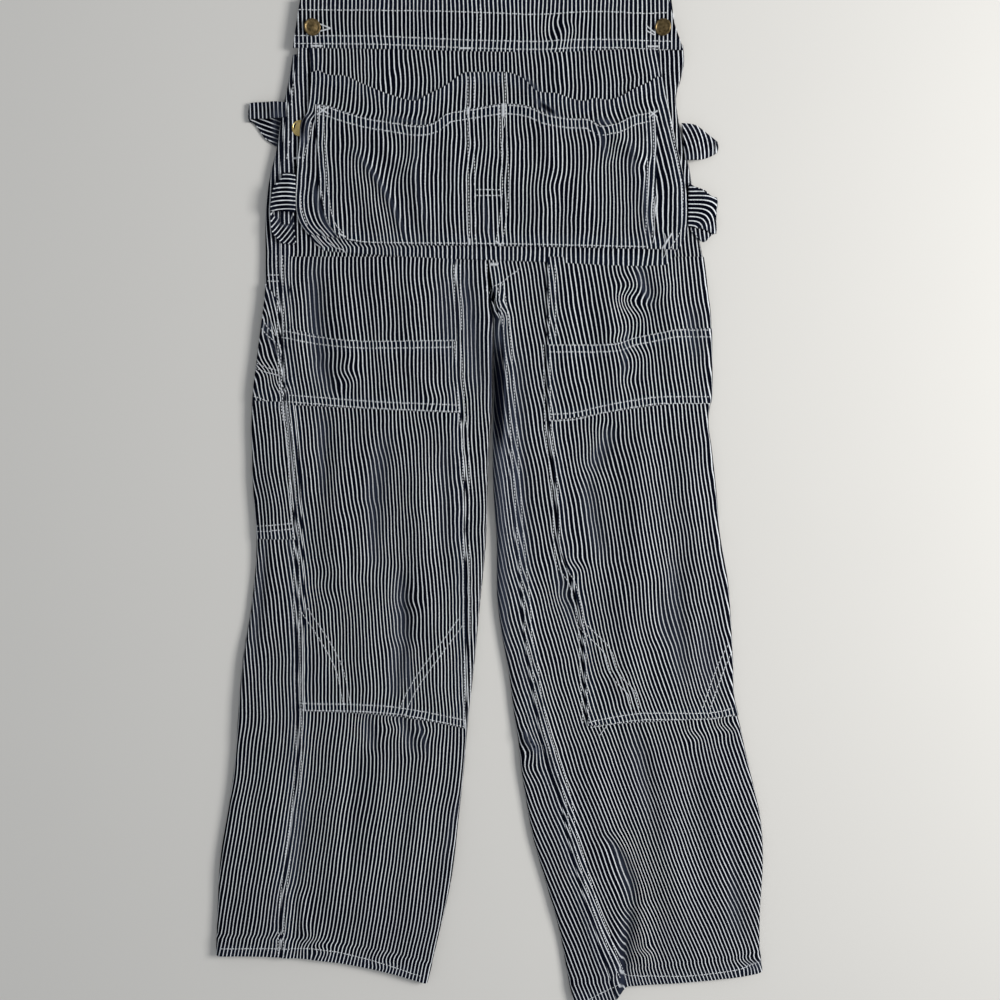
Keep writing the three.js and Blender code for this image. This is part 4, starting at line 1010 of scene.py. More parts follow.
# Seams of each group of pieces: the sideways offsets of a seam's rows, and its line
SEAMS = {
    "waist": [
        ((0,), [(-200, 38), (-8, 35), (45, 33), (112, 36), (165, 34), (186, 35)]),
        ((0, -8), [(-202, 12), (-113, 11), (-8, 7), (50, 6), (107, 8), (192, 6)]),
        ((0,), [(-8, 50), (-8, 14)]),
    ],
    "apron": [
        ((0,), [(-185, -72), (-186, -88), (-191, -104), (-196, -130), (-197, -159), (-191, -181)]),
        ((0,), [(187, -52), (193, -88), (200, -120), (205, -152), (204, -183), (192, -207)]),
        ((0, -8.5), [
            (-178, -59), (-168, -61), (-153, -66), (-131, -72), (-101, -77), (-72, -81), (-57, -78),
            (-42, -68), (-27, -65), (-13, -63), (17, -59), (48, -64), (59, -69), (80, -73), (104, -74),
            (119, -81), (132, -79), (153, -70), (173, -66)]),
        ((0, 6.5), [(-178, -60), (-177, -110), (-174, -154), (-165, -186), (-158, -194)]),
        ((0, -7), [(172, -66), (174, -123), (173, -196)]),
        ((0, 6.5), [(-21, -29), (-21, -61), (-20, -198)]),
        ((0, 6.5), [(11, -26), (12, -59), (15, -144), (13, -170), (8, -200)]),
        ((0, -6), [(-13, -145), (14, -145)]),
        ((0,), [(-150, -196), (-126, -199), (-9, -200.5), (56, -201.5), (170, -204)]),
    ],
    "thigh": [
        ((0, 6.5), [(-36.5, -222), (-35, -290)]),
        ((0, 6.5), [(64.5, -222), (65.5, -302)]),
        ((0, -7.2), [(-219.5, -291.5), (-178, -299), (-124, -303), (-36, -302)]),
        ((0, 7.2), [(-218.5, -367), (-125, -374), (-32, -378)]),
        ((0, 6.5), [(-36, -303), (-31.5, -378)]),
        ((0, -7.2), [
            (65, -307), (106, -307), (136, -306), (155, -300), (180, -295), (205, -291), (237, -291)]),
        ((0, 7.2), [(67, -388), (94, -386), (123, -379), (156, -373), (190, -369), (238, -369)]),
        ((0, -6.5), [(65.5, -306), (67, -388)]),
    ],
    "knee": [
        ((0, 7.5), [(-210, -706), (-100, -711), (-27, -725)]),
        ((0, 6.5), [(-31.5, -380), (-27.5, -420), (-27.5, -540), (-27, -600), (-26.5, -722)]),
        ((0, 8), [(-33, -604), (-96, -699), (-100, -709)]),
        ((0, 8), [(-205, -596), (-179, -637), (-169, -658), (-160, -702)]),
        ((0, -6.5), [
            (67, -391), (69, -409), (73, -441), (76, -474), (80, -540), (94, -563), (100, -585),
            (105, -618), (108, -675), (111, -722)]),
        ((0, 7.2), [(112, -727), (149, -720), (175, -717), (228, -717), (260, -714), (271, -711)]),
        ((0, -8), [(103, -607), (116, -619), (133, -637), (144, -666), (161, -686), (166, -706)]),
        ((0, 8), [(264, -630), (253, -653), (245, -676), (236, -704)]),
    ],
    "leg": [
        ((0, -6.3), [
            (-218, -212), (-218, -291), (-215.5, -377), (-211.5, -398), (-209, -452), (-206.5, -496),
            (-206, -540), (-207, -630), (-207, -697), (-207, -743), (-214, -825), (-223.5, -888),
            (-230.5, -951), (-231.5, -993)]),
        ((0, 6.5), [
            (10, -246), (13, -265), (24, -400), (34, -540), (39, -585), (42, -630), (47, -652),
            (51, -686), (58, -720), (65, -745), (78, -783), (86, -812), (91, -847), (98, -870),
            (108, -905), (119, -941), (126, -958), (141, -1000), (149, -1018)]),
        ((0,), [(-303, -982), (-209, -982), (-140, -994), (-76, -1015)]),
        ((0,), [(153, -1014), (207, -1015), (251, -1012), (283, -1007), (308, -999)]),
        ((0,), [(110, -1044), (147, -1024)]),
        ((0,), [
            (33, -226), (29, -230), (23, -234), (18, -238), (13, -242), (6, -245), (2, -250), (0, -254)]),
        ((0,), [(17, -242), (11, -246)]),
        ((0,), [(-1.5, -221), (-1.5, -252)]),
        ((0, -6.5), [(-235, -233), (-221, -233)]),
        ((0,), [(-203, -36), (-206, -60)]),
        ((0,), [(-208, -94), (-211, -112)]),
    ],
    "ruler": [
        ((0, -6), [(-243, -270), (-237, -285), (-226, -297), (-222, -300)]),
        ((0, -5), [(-248, -326), (-236, -331), (-224, -334)]),
        ((0,), [(-252, -361), (-236, -367)]),
        ((0,), [(-222, -306), (-220, -372), (-216, -400), (-214, -500)]),
        ((0, 6), [(-252, -508), (-212, -505)]),
    ],
}

# Close zigzag tacks: from, to and width
TACKS = table(
    "x0 y0 x1 y1 width",
    (-178, -60, -166, -68, 2.0), (-178, -68, -166, -60, 2.0), (168, -64, 177, -71, 2.0),
    (168, -71, 177, -64, 2.0), (16, -57, 16, -70, 4.5), (-21, -61, -21, -68, 4.0),
    (-20, -196, -20, -202, 3.5), (-184, 1.5, -172, 1.5, 2.4), (-30, -1, -18, -1, 2.4),
    (166, 1, 177, 1, 2.4), (2, -222, 11, -222, 4.0), (184, -206, 194, -190, 2.6),
    (-158, -190, -150, -194, 2.2), (8, -198, 14, -203, 2.6), (-205, -112, -197, -112, 2.2),
)

# Buttonholes on the waistband, by the buttons: from, to
BUTTONHOLES = table(
    "x0 y0 x1 y1",
    (-176, 24, -163, 19), (-176, 16, -163, 19), (164, 22, 174, 14), (164, 17, 174, 12),
)

# Loose thread ends: points of each, with their height above the cloth
THREAD_ENDS = [
    [(132, -722, 0.4), (128, -728, 1.5), (124, -734, 1.0), (122, -736, 0.3)],
    [(-178, -186, 0.5), (-170, -193, 2.0), (-173, -199, 2.6), (-165, -201, 2.0), (-160, -207, 1.4),
     (-152, -206, 1.8), (-150, -212, 0.8)],
    [(-184, -192, 0.5), (-178, -199, 1.8), (-172, -204, 1.2), (-176, -208, 0.6)],
    [(186, -190, 0.4), (190, -200, 2.0), (183, -206, 2.4), (190, -212, 1.4), (184, -216, 0.4)],
    [(176, -152, 0.4), (172, -170, 1.0), (178, -186, 1.0), (174, -200, 0.3)],
    [(16, -70, 0.4), (19, -77, 1.2), (16, -82, 0.3)],
    [(-236, -262, 0.4), (-232, -280, 1.0), (-226, -296, 0.6)],
]


class Surfaces:
    """The upper side of all the cloth, for laying thread on it."""

    def __init__(self):
        depsgraph = bpy.context.evaluated_depsgraph_get()
        self.trees = [BVHTree.FromObject(obj, depsgraph) for obj in CLOTH_PIECES]

    def under(self, x, y):
        """Highest place at x, y and the cloth's direction there."""
        best = None
        for tree in self.trees:
            place, normal, _, _ = tree.ray_cast(Vector((x * MM, y * MM, 0.08)), Vector((0, 0, -1)))
            if place is not None and (best is None or place.z > best[0].z):
                best = (place, normal if normal.z > 0 else -normal)
        return best


def resample(points, step, offset=0.0):
    """Even places along a smooth line through points, moved sideways, with the line's directions."""
    points = np.array(points, float)
    runs = np.concatenate([[0], np.cumsum(np.hypot(*np.diff(points, axis=0).T))])
    line = {"run": runs, "x": points[:, 0], "y": points[:, 1]}
    at = np.arange(step / 2, runs[-1], step)
    if len(points) == 2:
        x, y = np.interp(at, runs, points[:, 0]), np.interp(at, runs, points[:, 1])
    else:
        x, y = smooth(line, at, "x"), smooth(line, at, "y")
    if len(at) < 2:
        heading = points[1] - points[0]
        directions = np.tile(heading / np.hypot(*heading), (len(at), 1))
    else:
        directions = np.stack([np.gradient(x), np.gradient(y)], axis=-1)
        directions /= np.hypot(*directions.T)[:, None]
    x = x - directions[:, 1] * offset
    y = y + directions[:, 0] * offset
    return np.stack([x, y], axis=-1), directions


def grain_frame(place, normal, direction, size):
    """Matrix of one stitch: its length along direction, its height along the cloth's normal."""
    across = normal.cross(Vector((*direction, 0))).normalized()
    forward = across.cross(normal)
    turn = Matrix((forward, across, normal)).transposed()
    scaled = turn @ Matrix.Diagonal(Vector(size) * MM)
    return Matrix.Translation(place) @ scaled.to_4x4()


def evaluated_mesh(maker, name):
    """Mesh of an object as its modifiers or its bevel leave it. The object goes."""
    bpy.context.scene.collection.objects.link(maker)
    depsgraph = bpy.context.evaluated_depsgraph_get()
    mesh = bpy.data.meshes.new_from_object(maker.evaluated_get(depsgraph))
    bpy.data.objects.remove(maker)
    mesh.name = name
    return mesh


def join_grains(name, frames):
    """One mesh of many small grains of thread, each a copy of one rounded grain."""
    bm = bmesh.new()
    bmesh.ops.create_uvsphere(bm, u_segments=6, v_segments=4, radius=0.5)
    bmesh.ops.rotate(bm, cent=(0, 0, 0), matrix=Matrix.Rotation(math.pi / 2, 3, "Y"), verts=bm.verts)
    template = finished_mesh(bm, name)
    maker = bpy.data.objects.new(name, template)
    repeat = maker.modifiers.new("Repeat", "ARRAY")
    repeat.count = len(frames)
    repeat.use_relative_offset = False
    repeat.use_constant_offset = True
    repeat.constant_offset_displace = (0, 0, 2)
    mesh = evaluated_mesh(maker, name)
    grain = np.c_[read_values(template.vertices, "co", 3), np.ones(len(template.vertices))]
    places = [grain @ np.array(matrix).T[:, :3] for matrix in frames]
    mesh.vertices.foreach_set("co", np.concatenate(places).ravel())
    shade_smooth(mesh)
    mesh.update()
    bpy.data.meshes.remove(template)
    return mesh


def sew(group, surfaces):
    """Frames of every stitch in one group of seams."""
    settings = bpy.context.scene.overalls_thread
    pitch, length, width = (value / MM for value in (settings.pitch, settings.length, settings.width))
    chance = np.random.default_rng(len(group))
    frames = []
    for offsets, line in SEAMS[group]:
        for offset in offsets:
            places, directions = resample(line, pitch, offset)
            for (x, y), heading in zip(places, directions):
                slip, size, skew = chance.normal(0, (0.12, 0.1, 0.05))
                hit = surfaces.under(x - heading[1] * slip, y + heading[0] * slip)
                if hit is None:
                    continue
                turned = (heading[0] - skew * heading[1], heading[1] + skew * heading[0])
                frames.append(grain_frame(*hit, turned, (length * (1 + size), width, width * 0.7)))
    return frames


def tack(row, surfaces):
    """Frames of the threads of one close tack."""
    frames = []
    line = [(row["x0"], row["y0"]), (row["x1"], row["y1"])]
    places, directions = resample(line, 0.55)
    for k, ((x, y), heading) in enumerate(zip(places, directions)):
        hit = surfaces.under(x, y)
        if hit is None:
            continue
        lean = 0.25 if k % 2 else -0.25
        crossways = (-heading[1] + lean * heading[0], heading[0] + lean * heading[1])
        place = hit[0] + Vector((0, 0, 0.0003))
        frames.append(grain_frame(place, hit[1], crossways, (row["width"], 0.65, 0.7)))
    return frames


def tube_mesh(name, lines, radius):
    """Mesh of thin round threads along lines of points in metres."""
    curve = bpy.data.curves.new(name, "CURVE")
    curve.dimensions = "3D"
    curve.bevel_depth = radius
    curve.bevel_resolution = 1
    curve.resolution_u = 6
    for line in lines:
        spline = curve.splines.new("NURBS")
        spline.points.add(len(line) - 1)
        for point, place in zip(spline.points, line):
            point.co = (*place, 1)
        spline.use_endpoint_u = True
        spline.order_u = 4
    return evaluated_mesh(bpy.data.objects.new(name, curve), name)


# Hard pieces

def button_mesh(name, place, tilt):
    """Pressed button with a rolled rim and a domed middle, spun from its profile."""
    r, h = BUTTON_RADIUS, BUTTON_HEIGHT
    profile = [
        (0, 0), (r * 0.86, 0), (r * 0.97, 0.5), (r, 1.3), (r, 2.2), (r * 0.97, 2.9), (r * 0.9, h),
        (r * 0.82, h - 0.15), (r * 0.76, h - 0.7), (r * 0.7, h - 0.95), (r * 0.6, h - 0.8),
        (r * 0.4, h - 0.35), (r * 0.2, h - 0.12), (0, h - 0.05),
    ]
    bm = bmesh.new()
    points = [bm.verts.new((x * MM, 0, z * MM)) for x, z in profile]
    edges = [bm.edges.new(pair) for pair in zip(points, points[1:])]
    bmesh.ops.spin(bm, geom=points + edges, cent=(0, 0, 0), axis=(0, 0, 1), angle=2 * math.pi,
                   steps=40, use_merge=True)
    bmesh.ops.remove_doubles(bm, verts=bm.verts, dist=1e-6)
    bmesh.ops.recalc_face_normals(bm, faces=bm.faces)
    turn = Matrix.Rotation(math.radians(tilt[0]), 4, "X") @ Matrix.Rotation(math.radians(tilt[1]), 4, "Y")
    bmesh.ops.transform(bm, matrix=Matrix.Translation(Vector(place) * MM) @ turn, verts=bm.verts)
    mesh = finished_mesh(bm, name)
    shade_smooth(mesh)
    return mesh


def bevelled_copy(name, node, width):
    """A CAD node's mesh with its loose triangles merged and its edges rounded."""
    bm = bmesh.new()
    bm.from_mesh(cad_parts[node].data)
    bm.transform(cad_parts[node].matrix_world)
    bmesh.ops.remove_doubles(bm, verts=bm.verts, dist=1e-5)
    bmesh.ops.dissolve_limit(bm, angle_limit=math.radians(2), verts=bm.verts, edges=bm.edges)
    sharp = [e for e in bm.edges if len(e.link_faces) == 2 and e.calc_face_angle(0) > math.radians(35)]
    bmesh.ops.bevel(bm, geom=sharp, offset=width * MM, affect="EDGES", segments=2, profile=0.5, material=-1)
    bmesh.ops.triangulate(bm, faces=bm.faces)
    return finished_mesh(bm, name)


# Straps and loops

def path_mesh(name, stations, half_width, step, grain_at=None, crumple=0.3, steps_across=10):
    """Band of cloth along stations, each a left end, a right end and the way its face looks.
    Its stripes run lengthwise, unless grain_at tells them from a place and its share of the length."""
    stations = [tuple(np.array(part, float) for part in station) for station in stations]
    middles = np.array([(a + b) / 2 for a, b, _ in stations])
    runs = np.concatenate([[0], np.cumsum(np.linalg.norm(np.diff(middles, axis=0), axis=1))])
    total = runs[-1]
    columns = {"run": runs}
    for index, part in enumerate(("a", "b", "out")):
        for axis in range(3):
            columns[f"{part}{axis}"] = np.array([station[index][axis] for station in stations])

    def form(s, t):
        at = t * total
        ends = [np.stack([smooth(columns, at, f"{part}{axis}") for axis in range(3)], axis=-1)
                for part in ("a", "b", "out")]
        out = ends[2] / np.linalg.norm(ends[2], axis=1)[:, None]
        width = np.linalg.norm(ends[1] - ends[0], axis=1)
        place = ends[0] + (ends[1] - ends[0]) * s[:, None]
        edge = np.minimum(s, 1 - s) * width
        rise = turned_edge(edge, 0.6) - 0.6 - SEAM_RISE
        soft = crumple * MIDDLE(at * 1.7, s * width * 2) * ease(edge / 6)
        place = place + out * (rise + soft)[:, None]
        wear = seam_wear(edge * 2)
        if grain_at:
            across = grain_at(place[:, 0], place[:, 1], t)
        else:
            across = (s - 0.5) * width
        grain = np.stack([across + stray(s * width, at, 0.4), at], axis=-1)
        return place, grain, wear

    across = stops(2 * half_width, 2 * half_width / steps_across)
    along = np.linspace(0, 1, max(8, int(total / step)))
    return cloth_mesh(name, form, across, along), total


def strap_stations(hand):
    """A strap's stations: up from the back, folded at the shoulder and down to its buckle's bar."""

    def arc(y, z, radius, tilts):
        angles = [math.radians(tilt) for tilt in tilts]
        return [(STRAP_X, y + radius * math.cos(angle), z + radius * math.sin(angle), tilt)
                for angle, tilt in zip(angles, tilts)]

    high = PLATE_Z + PLATE_THICK / 2 + HOOK_RADIUS
    fold = LIE_HEIGHT / 2
    fold_y = SHOULDER_FOLD_Y - fold
    line = [(STRAP_WIDTH / 2 + 3, BACK_TOP_Y - 4, 0, -90), (45, 475, 0, -90), (80, 535, 0, -90),
            (STRAP_X, fold_y, 0, -90)]
    line += arc(fold_y, fold, fold, (-45, 0, 45))
    line += [(STRAP_X, fold_y, LIE_HEIGHT, 90), (STRAP_X, 550, LIE_HEIGHT + 0.6, 90),
             (STRAP_X, 500, LIE_HEIGHT, 90), (STRAP_X, 425, high, 90), (STRAP_X, BAR_Y, high, 90)]
    line += arc(BAR_Y, high - HOOK_RADIUS, HOOK_RADIUS, (135, 180, 225, 270))
    line.append((STRAP_X, 408, high - 2 * HOOK_RADIUS, 270))
    stations = []
    for x, y, z, tilt in line:
        angle = math.radians(tilt)
        out = (0, math.cos(angle), math.sin(angle))
        half = STRAP_WIDTH / 2
        stations.append(((hand * x - half, y, z), (hand * x + half, y, z), out))
    return stations


# Hammer loops: bands folded over on themselves. Each has the way it runs out, its width, how its stripes
# lie seen from above (turn of its under and its upper part in degrees from upright, and their arch), and
# the sections of its under and its upper part: two ends of a line across the band, and its height.
LOOP_FOLD = 2.2
LOOP_COLUMNS = "ax ay bx by z"
LOOPS = {
    "hammer_loop_right_upper": (
        (-1, 0), 0.024, (70, 2, 0.0),
        table(LOOP_COLUMNS, (-215, -58, -215, -106, 3.0), (-222.6, -58, -222.6, -100, 0.4),
              (-234, -58, -234, -92, 0.4), (-250, -60, -250, -74, 0.2)),
        table(LOOP_COLUMNS, (-250, -55, -250, -71, 4.6), (-236, -54, -236, -71, 5.8),
              (-222, -54, -222, -71, 9.6), (-211, -55, -211, -70, 9.6))),
    "hammer_loop_right_lower": (
        (0, 1), 0.018, (-28, 92, 0.008),
        table(LOOP_COLUMNS, (-218, -200, -203, -202, 11), (-228, -186, -205, -190, 10.6),
              (-229, -166, -206, -168, 8.2), (-215, -130, -206, -130, 8.6)),
        table(LOOP_COLUMNS, (-215, -130, -203, -129, 12.6), (-224, -142, -203, -142, 13.6),
              (-228, -158, -203, -158, 13.6), (-229, -167, -204, -168, 13.0))),
    "hammer_loop_left_upper": (
        (1, 0), 0.03, (20, 16, 0.008),
        table(LOOP_COLUMNS, (214, -78, 214, -113, 0.2), (228, -85, 228, -112, 0.2),
              (240, -94, 240, -106, 0.2)),
        table(LOOP_COLUMNS, (240, -93, 240, -107, 4.6), (229, -85, 229, -112, 5.8),
              (217, -78, 219, -114, 9.6), (203, -76, 207, -114, 9.6))),
    "hammer_loop_left_lower": (
        (1, 0), 0.045, (8, None, 0.0),
        table(LOOP_COLUMNS, (214, -140, 214, -187, 7.8), (228, -145, 228, -199, 7.8),
              (240, -152, 240, -190, 3)),
        table(LOOP_COLUMNS, (240, -152, 240, -190, 7.4), (228, -147, 228, -186, 12.2),
              (211, -138, 211, -183, 11.6))),
}

# The corner round which the stripes of a loop's upper part are nested, where they have no turn
NEST_CORNER = (208, -196)


def loop_grain(under, over, arch):
    """Function that tells where a loop's places lie across its stripes."""

    def grain_at(x, y, t):
        first = t < 0.5
        angle = np.radians(np.where(first, under, over or 0))
        across = x * np.cos(angle) + y * np.sin(angle)
        along = y * np.cos(angle) - x * np.sin(angle)
        along = along - np.where(first, along[first].mean(), along[~first].mean())
        if over is None:
            nested = (np.abs(x - NEST_CORNER[0]) ** 4 + np.abs(y - NEST_CORNER[1]) ** 4) ** 0.25
            return np.where(first, across, nested)
        return across + arch * along ** 2

    return grain_at


def loop_stations(run, under, over):
    """A loop's stations: its under part, the fold at its end, and its upper part."""

    def station(row, tilt, reach=0.0, rise=0.0):
        angle = math.radians(tilt)
        shift = (run[0] * reach, run[1] * reach)
        out = (run[0] * math.cos(angle), run[1] * math.cos(angle), math.sin(angle))
        first = (row["ax"] + shift[0], row["ay"] + shift[1], row["z"] + rise)
        second = (row["bx"] + shift[0], row["by"] + shift[1], row["z"] + rise)
        return first, second, out

    lines = [station(row, -90) for row in rows_of(under)]
    turn = rows_of(under)[-1]
    for tilt in (-45, 0, 45):
        angle = math.radians(tilt)
        lines.append(station(turn, tilt, LOOP_FOLD * math.cos(angle), LOOP_FOLD * (1 + math.sin(angle))))
    lines += [station(row, 90) for row in rows_of(over)]
    return lines


# Settings

class OverallsCloth(bpy.types.PropertyGroup):
    pitch: FloatProperty(name="Stripe Pitch", description="From one stripe to the next", default=0.0043,
                         min=0.001, unit="LENGTH", precision=5)
    white: FloatProperty(name="White Share", description="Share of the pitch that is off-white",
                         default=0.19, min=0.05, max=0.95, subtype="FACTOR")
    thickness: FloatProperty(name="Thickness", description="Thickness of the cotton twill",
                             default=0.0009, min=0.0003, unit="LENGTH", precision=5)
    step: FloatProperty(name="Mesh Step", description="Size of the mesh's faces on the cloth that shows",
                        default=0.0034, min=0.001, unit="LENGTH", precision=5)
    ground: FloatVectorProperty(name="Ground", description="Dark indigo between the stripes",
                                default=(0.0003, 0.0009, 0.0044), subtype="COLOR", min=0, max=1)
    worn_ground: FloatVectorProperty(name="Worn Ground", description="The ground where seams have rubbed",
                                     default=(0.006, 0.009, 0.02), subtype="COLOR", min=0, max=1)
    # Painted shade: the dusky colour that cloth is given in the valleys of folds
    fold: FloatVectorProperty(name="Fold", description="Cloth in the valleys of folds",
                              default=(0.034, 0.042, 0.068), subtype="COLOR", min=0, max=1)
    stripe: FloatVectorProperty(name="Stripe", description="Off-white of the stripes",
                                default=(0.9, 0.94, 1.0), subtype="COLOR", min=0, max=1)


class OverallsThread(bpy.types.PropertyGroup):
    pitch: FloatProperty(name="Stitch Pitch", description="From one stitch to the next", default=0.0033,
                         min=0.001, unit="LENGTH", precision=5)
    length: FloatProperty(name="Stitch Length", description="Length of thread that shows in a stitch",
                          default=0.0026, min=0.0005, unit="LENGTH", precision=5)
    width: FloatProperty(name="Thread Width", description="Width of the thread", default=0.00095,
                         min=0.0002, unit="LENGTH", precision=5)
    colour: FloatVectorProperty(name="Colour", description="Off-white thread", default=(0.7, 0.73, 0.78),
                                subtype="COLOR", min=0, max=1)


class OverallsMetal(bpy.types.PropertyGroup):
    aged_brass: FloatVectorProperty(name="Aged Brass", description="Waist and bib buttons",
                                    default=(0.24, 0.17, 0.08), subtype="COLOR", min=0, max=1)
    bright_brass: FloatVectorProperty(name="Bright Brass", description="Side button",
                                      default=(0.75, 0.56, 0.22), subtype="COLOR", min=0, max=1)
    steel: FloatVectorProperty(name="Steel", description="Buckles and slides", default=(0.62, 0.61, 0.58),
                               subtype="COLOR", min=0, max=1)


class OverallsStage(bpy.types.PropertyGroup):
    floor: FloatVectorProperty(name="Floor", description="Colour of the floor", default=(0.635, 0.628, 0.612),
                               subtype="COLOR", min=0, max=1)
    key: FloatProperty(name="Key Light", description="Power of the large soft light", default=60.0,
                       min=0, unit="POWER")
    fill: FloatProperty(name="Fill", description="Brightness of the surroundings", default=0.42, min=0)


# Operators

class OVERALLS_OT_legs(bpy.types.Operator):
    """Fronts and backs of both legs, meeting at their seams"""
    bl_idname = "overalls.legs"
    bl_label = "Legs"

    def execute(self, context):
        step = context.scene.overalls_cloth.step / MM
        for side, leg, seam_on in (("right", RIGHT, "side"), ("left", LEFT, "inner")):
            along = rows_down(FRONT_HEAD, leg.foot, step, start=False)
            mesh = cloth_mesh(f"{side}_front", front_form(leg, seam_on, 0.6),
                              stops(236, step, end=False), along, LEG_FOLDS, LEG_TUCKS)
            add_cloth(f"{side}_front", mesh, f"front_{side}")
            shown = np.linspace(0, 0.5, 24)
            hidden = np.linspace(0.5, 1, 15)[1:]
            along = rows_down(BACK_HEAD, leg.foot, step * 1.6, start=False)
            mesh = cloth_mesh(f"{side}_back", back_form(leg, seam_on, 2.1),
                              np.concatenate([shown, hidden]), along, LEG_FOLDS, LEG_TUCKS, faces_up=False)
            add_cloth(f"{side}_back", mesh, f"back_{side}")
        return {"FINISHED"}


class OVERALLS_OT_patches(bpy.types.Operator):
    """Thigh panels, bands and knee patches on both fronts"""
    bl_idname = "overalls.patches"
    bl_label = "Patches"

    def execute(self, context):
        step = context.scene.overalls_cloth.step / MM
        for side, leg, knee_foot in (("right", RIGHT, KNEE_FOOT), ("left", LEFT, KNEE_FOOT - 6)):
            across = stops(190, step, end=leg.hand < 0)
            for name, head, foot, lift, shift, head_edge, foot_edge, reach in (
                ("thigh_panel", PANEL_TOP, BAND_TOP - 4, PATCH_LIFT, 1.7, False, False, 0.5),
                ("knee_patch", BAND_FOOT + 6, knee_foot, PATCH_LIFT, 2.9, False, True, 0.2),
                ("thigh_band", BAND_TOP, BAND_FOOT, BAND_LIFT, 0.9, True, True, 1.4),
            ):
                along = rows_down(head, foot, step, head_edge, foot_edge)
                form = patch_form(leg, head, foot, lift, shift, head_edge, foot_edge, reach)
                mesh = cloth_mesh(f"{name}_{side}_cloth", form, across, along, LEG_FOLDS, LEG_TUCKS)
                add_cloth(f"{name}_{side}_cloth", mesh,
                          f"{name}_{side}")
        return {"FINISHED"}


class OVERALLS_OT_ruler_pocket(bpy.types.Operator):
    """Two lengths of ruler pocket beside the right outseam"""
    bl_idname = "overalls.ruler_pocket"
    bl_label = "Ruler Pocket"

    def execute(self, context):
        for name, head, foot, lift, shift, lean, fan in (
            ("ruler_pocket_lower", -362, -516, 1.3, 0.4, 6, 0.0),
            ("ruler_pocket_upper", -264, -366, 2.2, 3.0, 22, 0.12),
        ):
            along = rows_down(head, foot, 3)
            form = ruler_form(head, foot, lift, shift, lean, fan)
            mesh = cloth_mesh(f"{name}_cloth", form, stops(36, 2), along)
            add_cloth(f"{name}_cloth", mesh, name)
        return {"FINISHED"}


class OVERALLS_OT_apron(bpy.types.Operator):
    """Nail apron: its base and two layers of pockets"""
    bl_idname = "overalls.apron"
    bl_label = "Nail Apron"

    def execute(self, context):
        step = context.scene.overalls_cloth.step / MM * 0.9
        foot = curve_y(APRON_FOOT)
        pocket_foot = curve_y(POCKET_FOOT)
        layers = (
            ("apron_base", level(5), foot, "left", "right", BASE_LIFT, 0.8, 0.2, 1.0, False, (0.41, 0.24)),
            ("apron_rear_pocket", curve_y(REAR_MOUTH), pocket_foot, "left", "right", REAR_LIFT, 0.9, 2.3, 1.0,
             True, (0.41, 0.18)),
            ("apron_front_pocket", curve_y(FRONT_MOUTH), pocket_foot, "pocket_left", "pocket_right",
             POCKET_LIFT, 1.0, 1.1, 0.1, True, (0.37, 0.15)),
        )
        for name, head, end, left, right, lift, softness, shift, sides, mouth, flat in layers:
            form = apron_form(head, end, left, right, lift, softness, shift, sides, mouth)
            across = stops(flat[0] / MM, step)
            along = stops(flat[1] / MM, step, start=mouth)
            mesh = cloth_mesh(f"{name}_cloth", form, across, along, APRON_FOLDS, APRON_TUCKS)
            add_cloth(f"{name}_cloth", mesh, name)
        return {"FINISHED"}


class OVERALLS_OT_waist(bpy.types.Operator):
    """Front waistband, bib and the back above the waist"""
    bl_idname = "overalls.waist"
    bl_label = "Waistband, Bib and Back"

    def execute(self, context):
        step = context.scene.overalls_cloth.step / MM
        mesh = cloth_mesh("waistband_cloth", waistband_form, stops(400, step), stops(54, step * 0.8))
        add_cloth("waistband_cloth", mesh, "front_waistband")
        form = flat_form(BIB, 340, 44, BIB_TOP, BIB_FOLDS, 0.5, ("left", "right"), rise_at_foot=False)
        mesh = cloth_mesh("bib_cloth", form, stops(320, step * 1.4), stops(296, step * 1.4, end=False))
        add_cloth("bib_cloth", mesh, "bib")
        form = flat_form(BACK, 430, -6, BACK_TOP, BACK_FOLDS, 2.5, ("half", "half"))
        mesh = cloth_mesh("back_panel_cloth", form, stops(300, step * 2), stops(436, step * 2))
        add_cloth("back_panel_cloth", mesh, "back_panel")
        return {"FINISHED"}


class OVERALLS_OT_straps(bpy.types.Operator):
    """Shoulder straps, hooked round the bars of their buckles"""
    bl_idname = "overalls.straps"
    bl_label = "Straps"

    def execute(self, context):
        for side, hand in (("right", -1), ("left", 1)):
            mesh, length = path_mesh(f"strap_{side}_cloth", strap_stations(hand), STRAP_WIDTH / 2, 3.2)
            obj = add_cloth(f"strap_{side}_cloth", mesh, f"strap_{side}")
            obj.modifiers["Thickness"].thickness = STRAP_THICK * MM
        return {"FINISHED"}


class OVERALLS_OT_loops(bpy.types.Operator):
    """Four hammer loops at the hips"""
    bl_idname = "overalls.loops"
    bl_label = "Hammer Loops"

    def execute(self, context):
        for name, (run, width, turns, under, over) in LOOPS.items():
            mesh, length = path_mesh(f"{name}_cloth", loop_stations(run, under, over), 16, 1.6,
                                     loop_grain(*turns), 1.2)
            add_cloth(f"{name}_cloth", mesh, name)
        return {"FINISHED"}


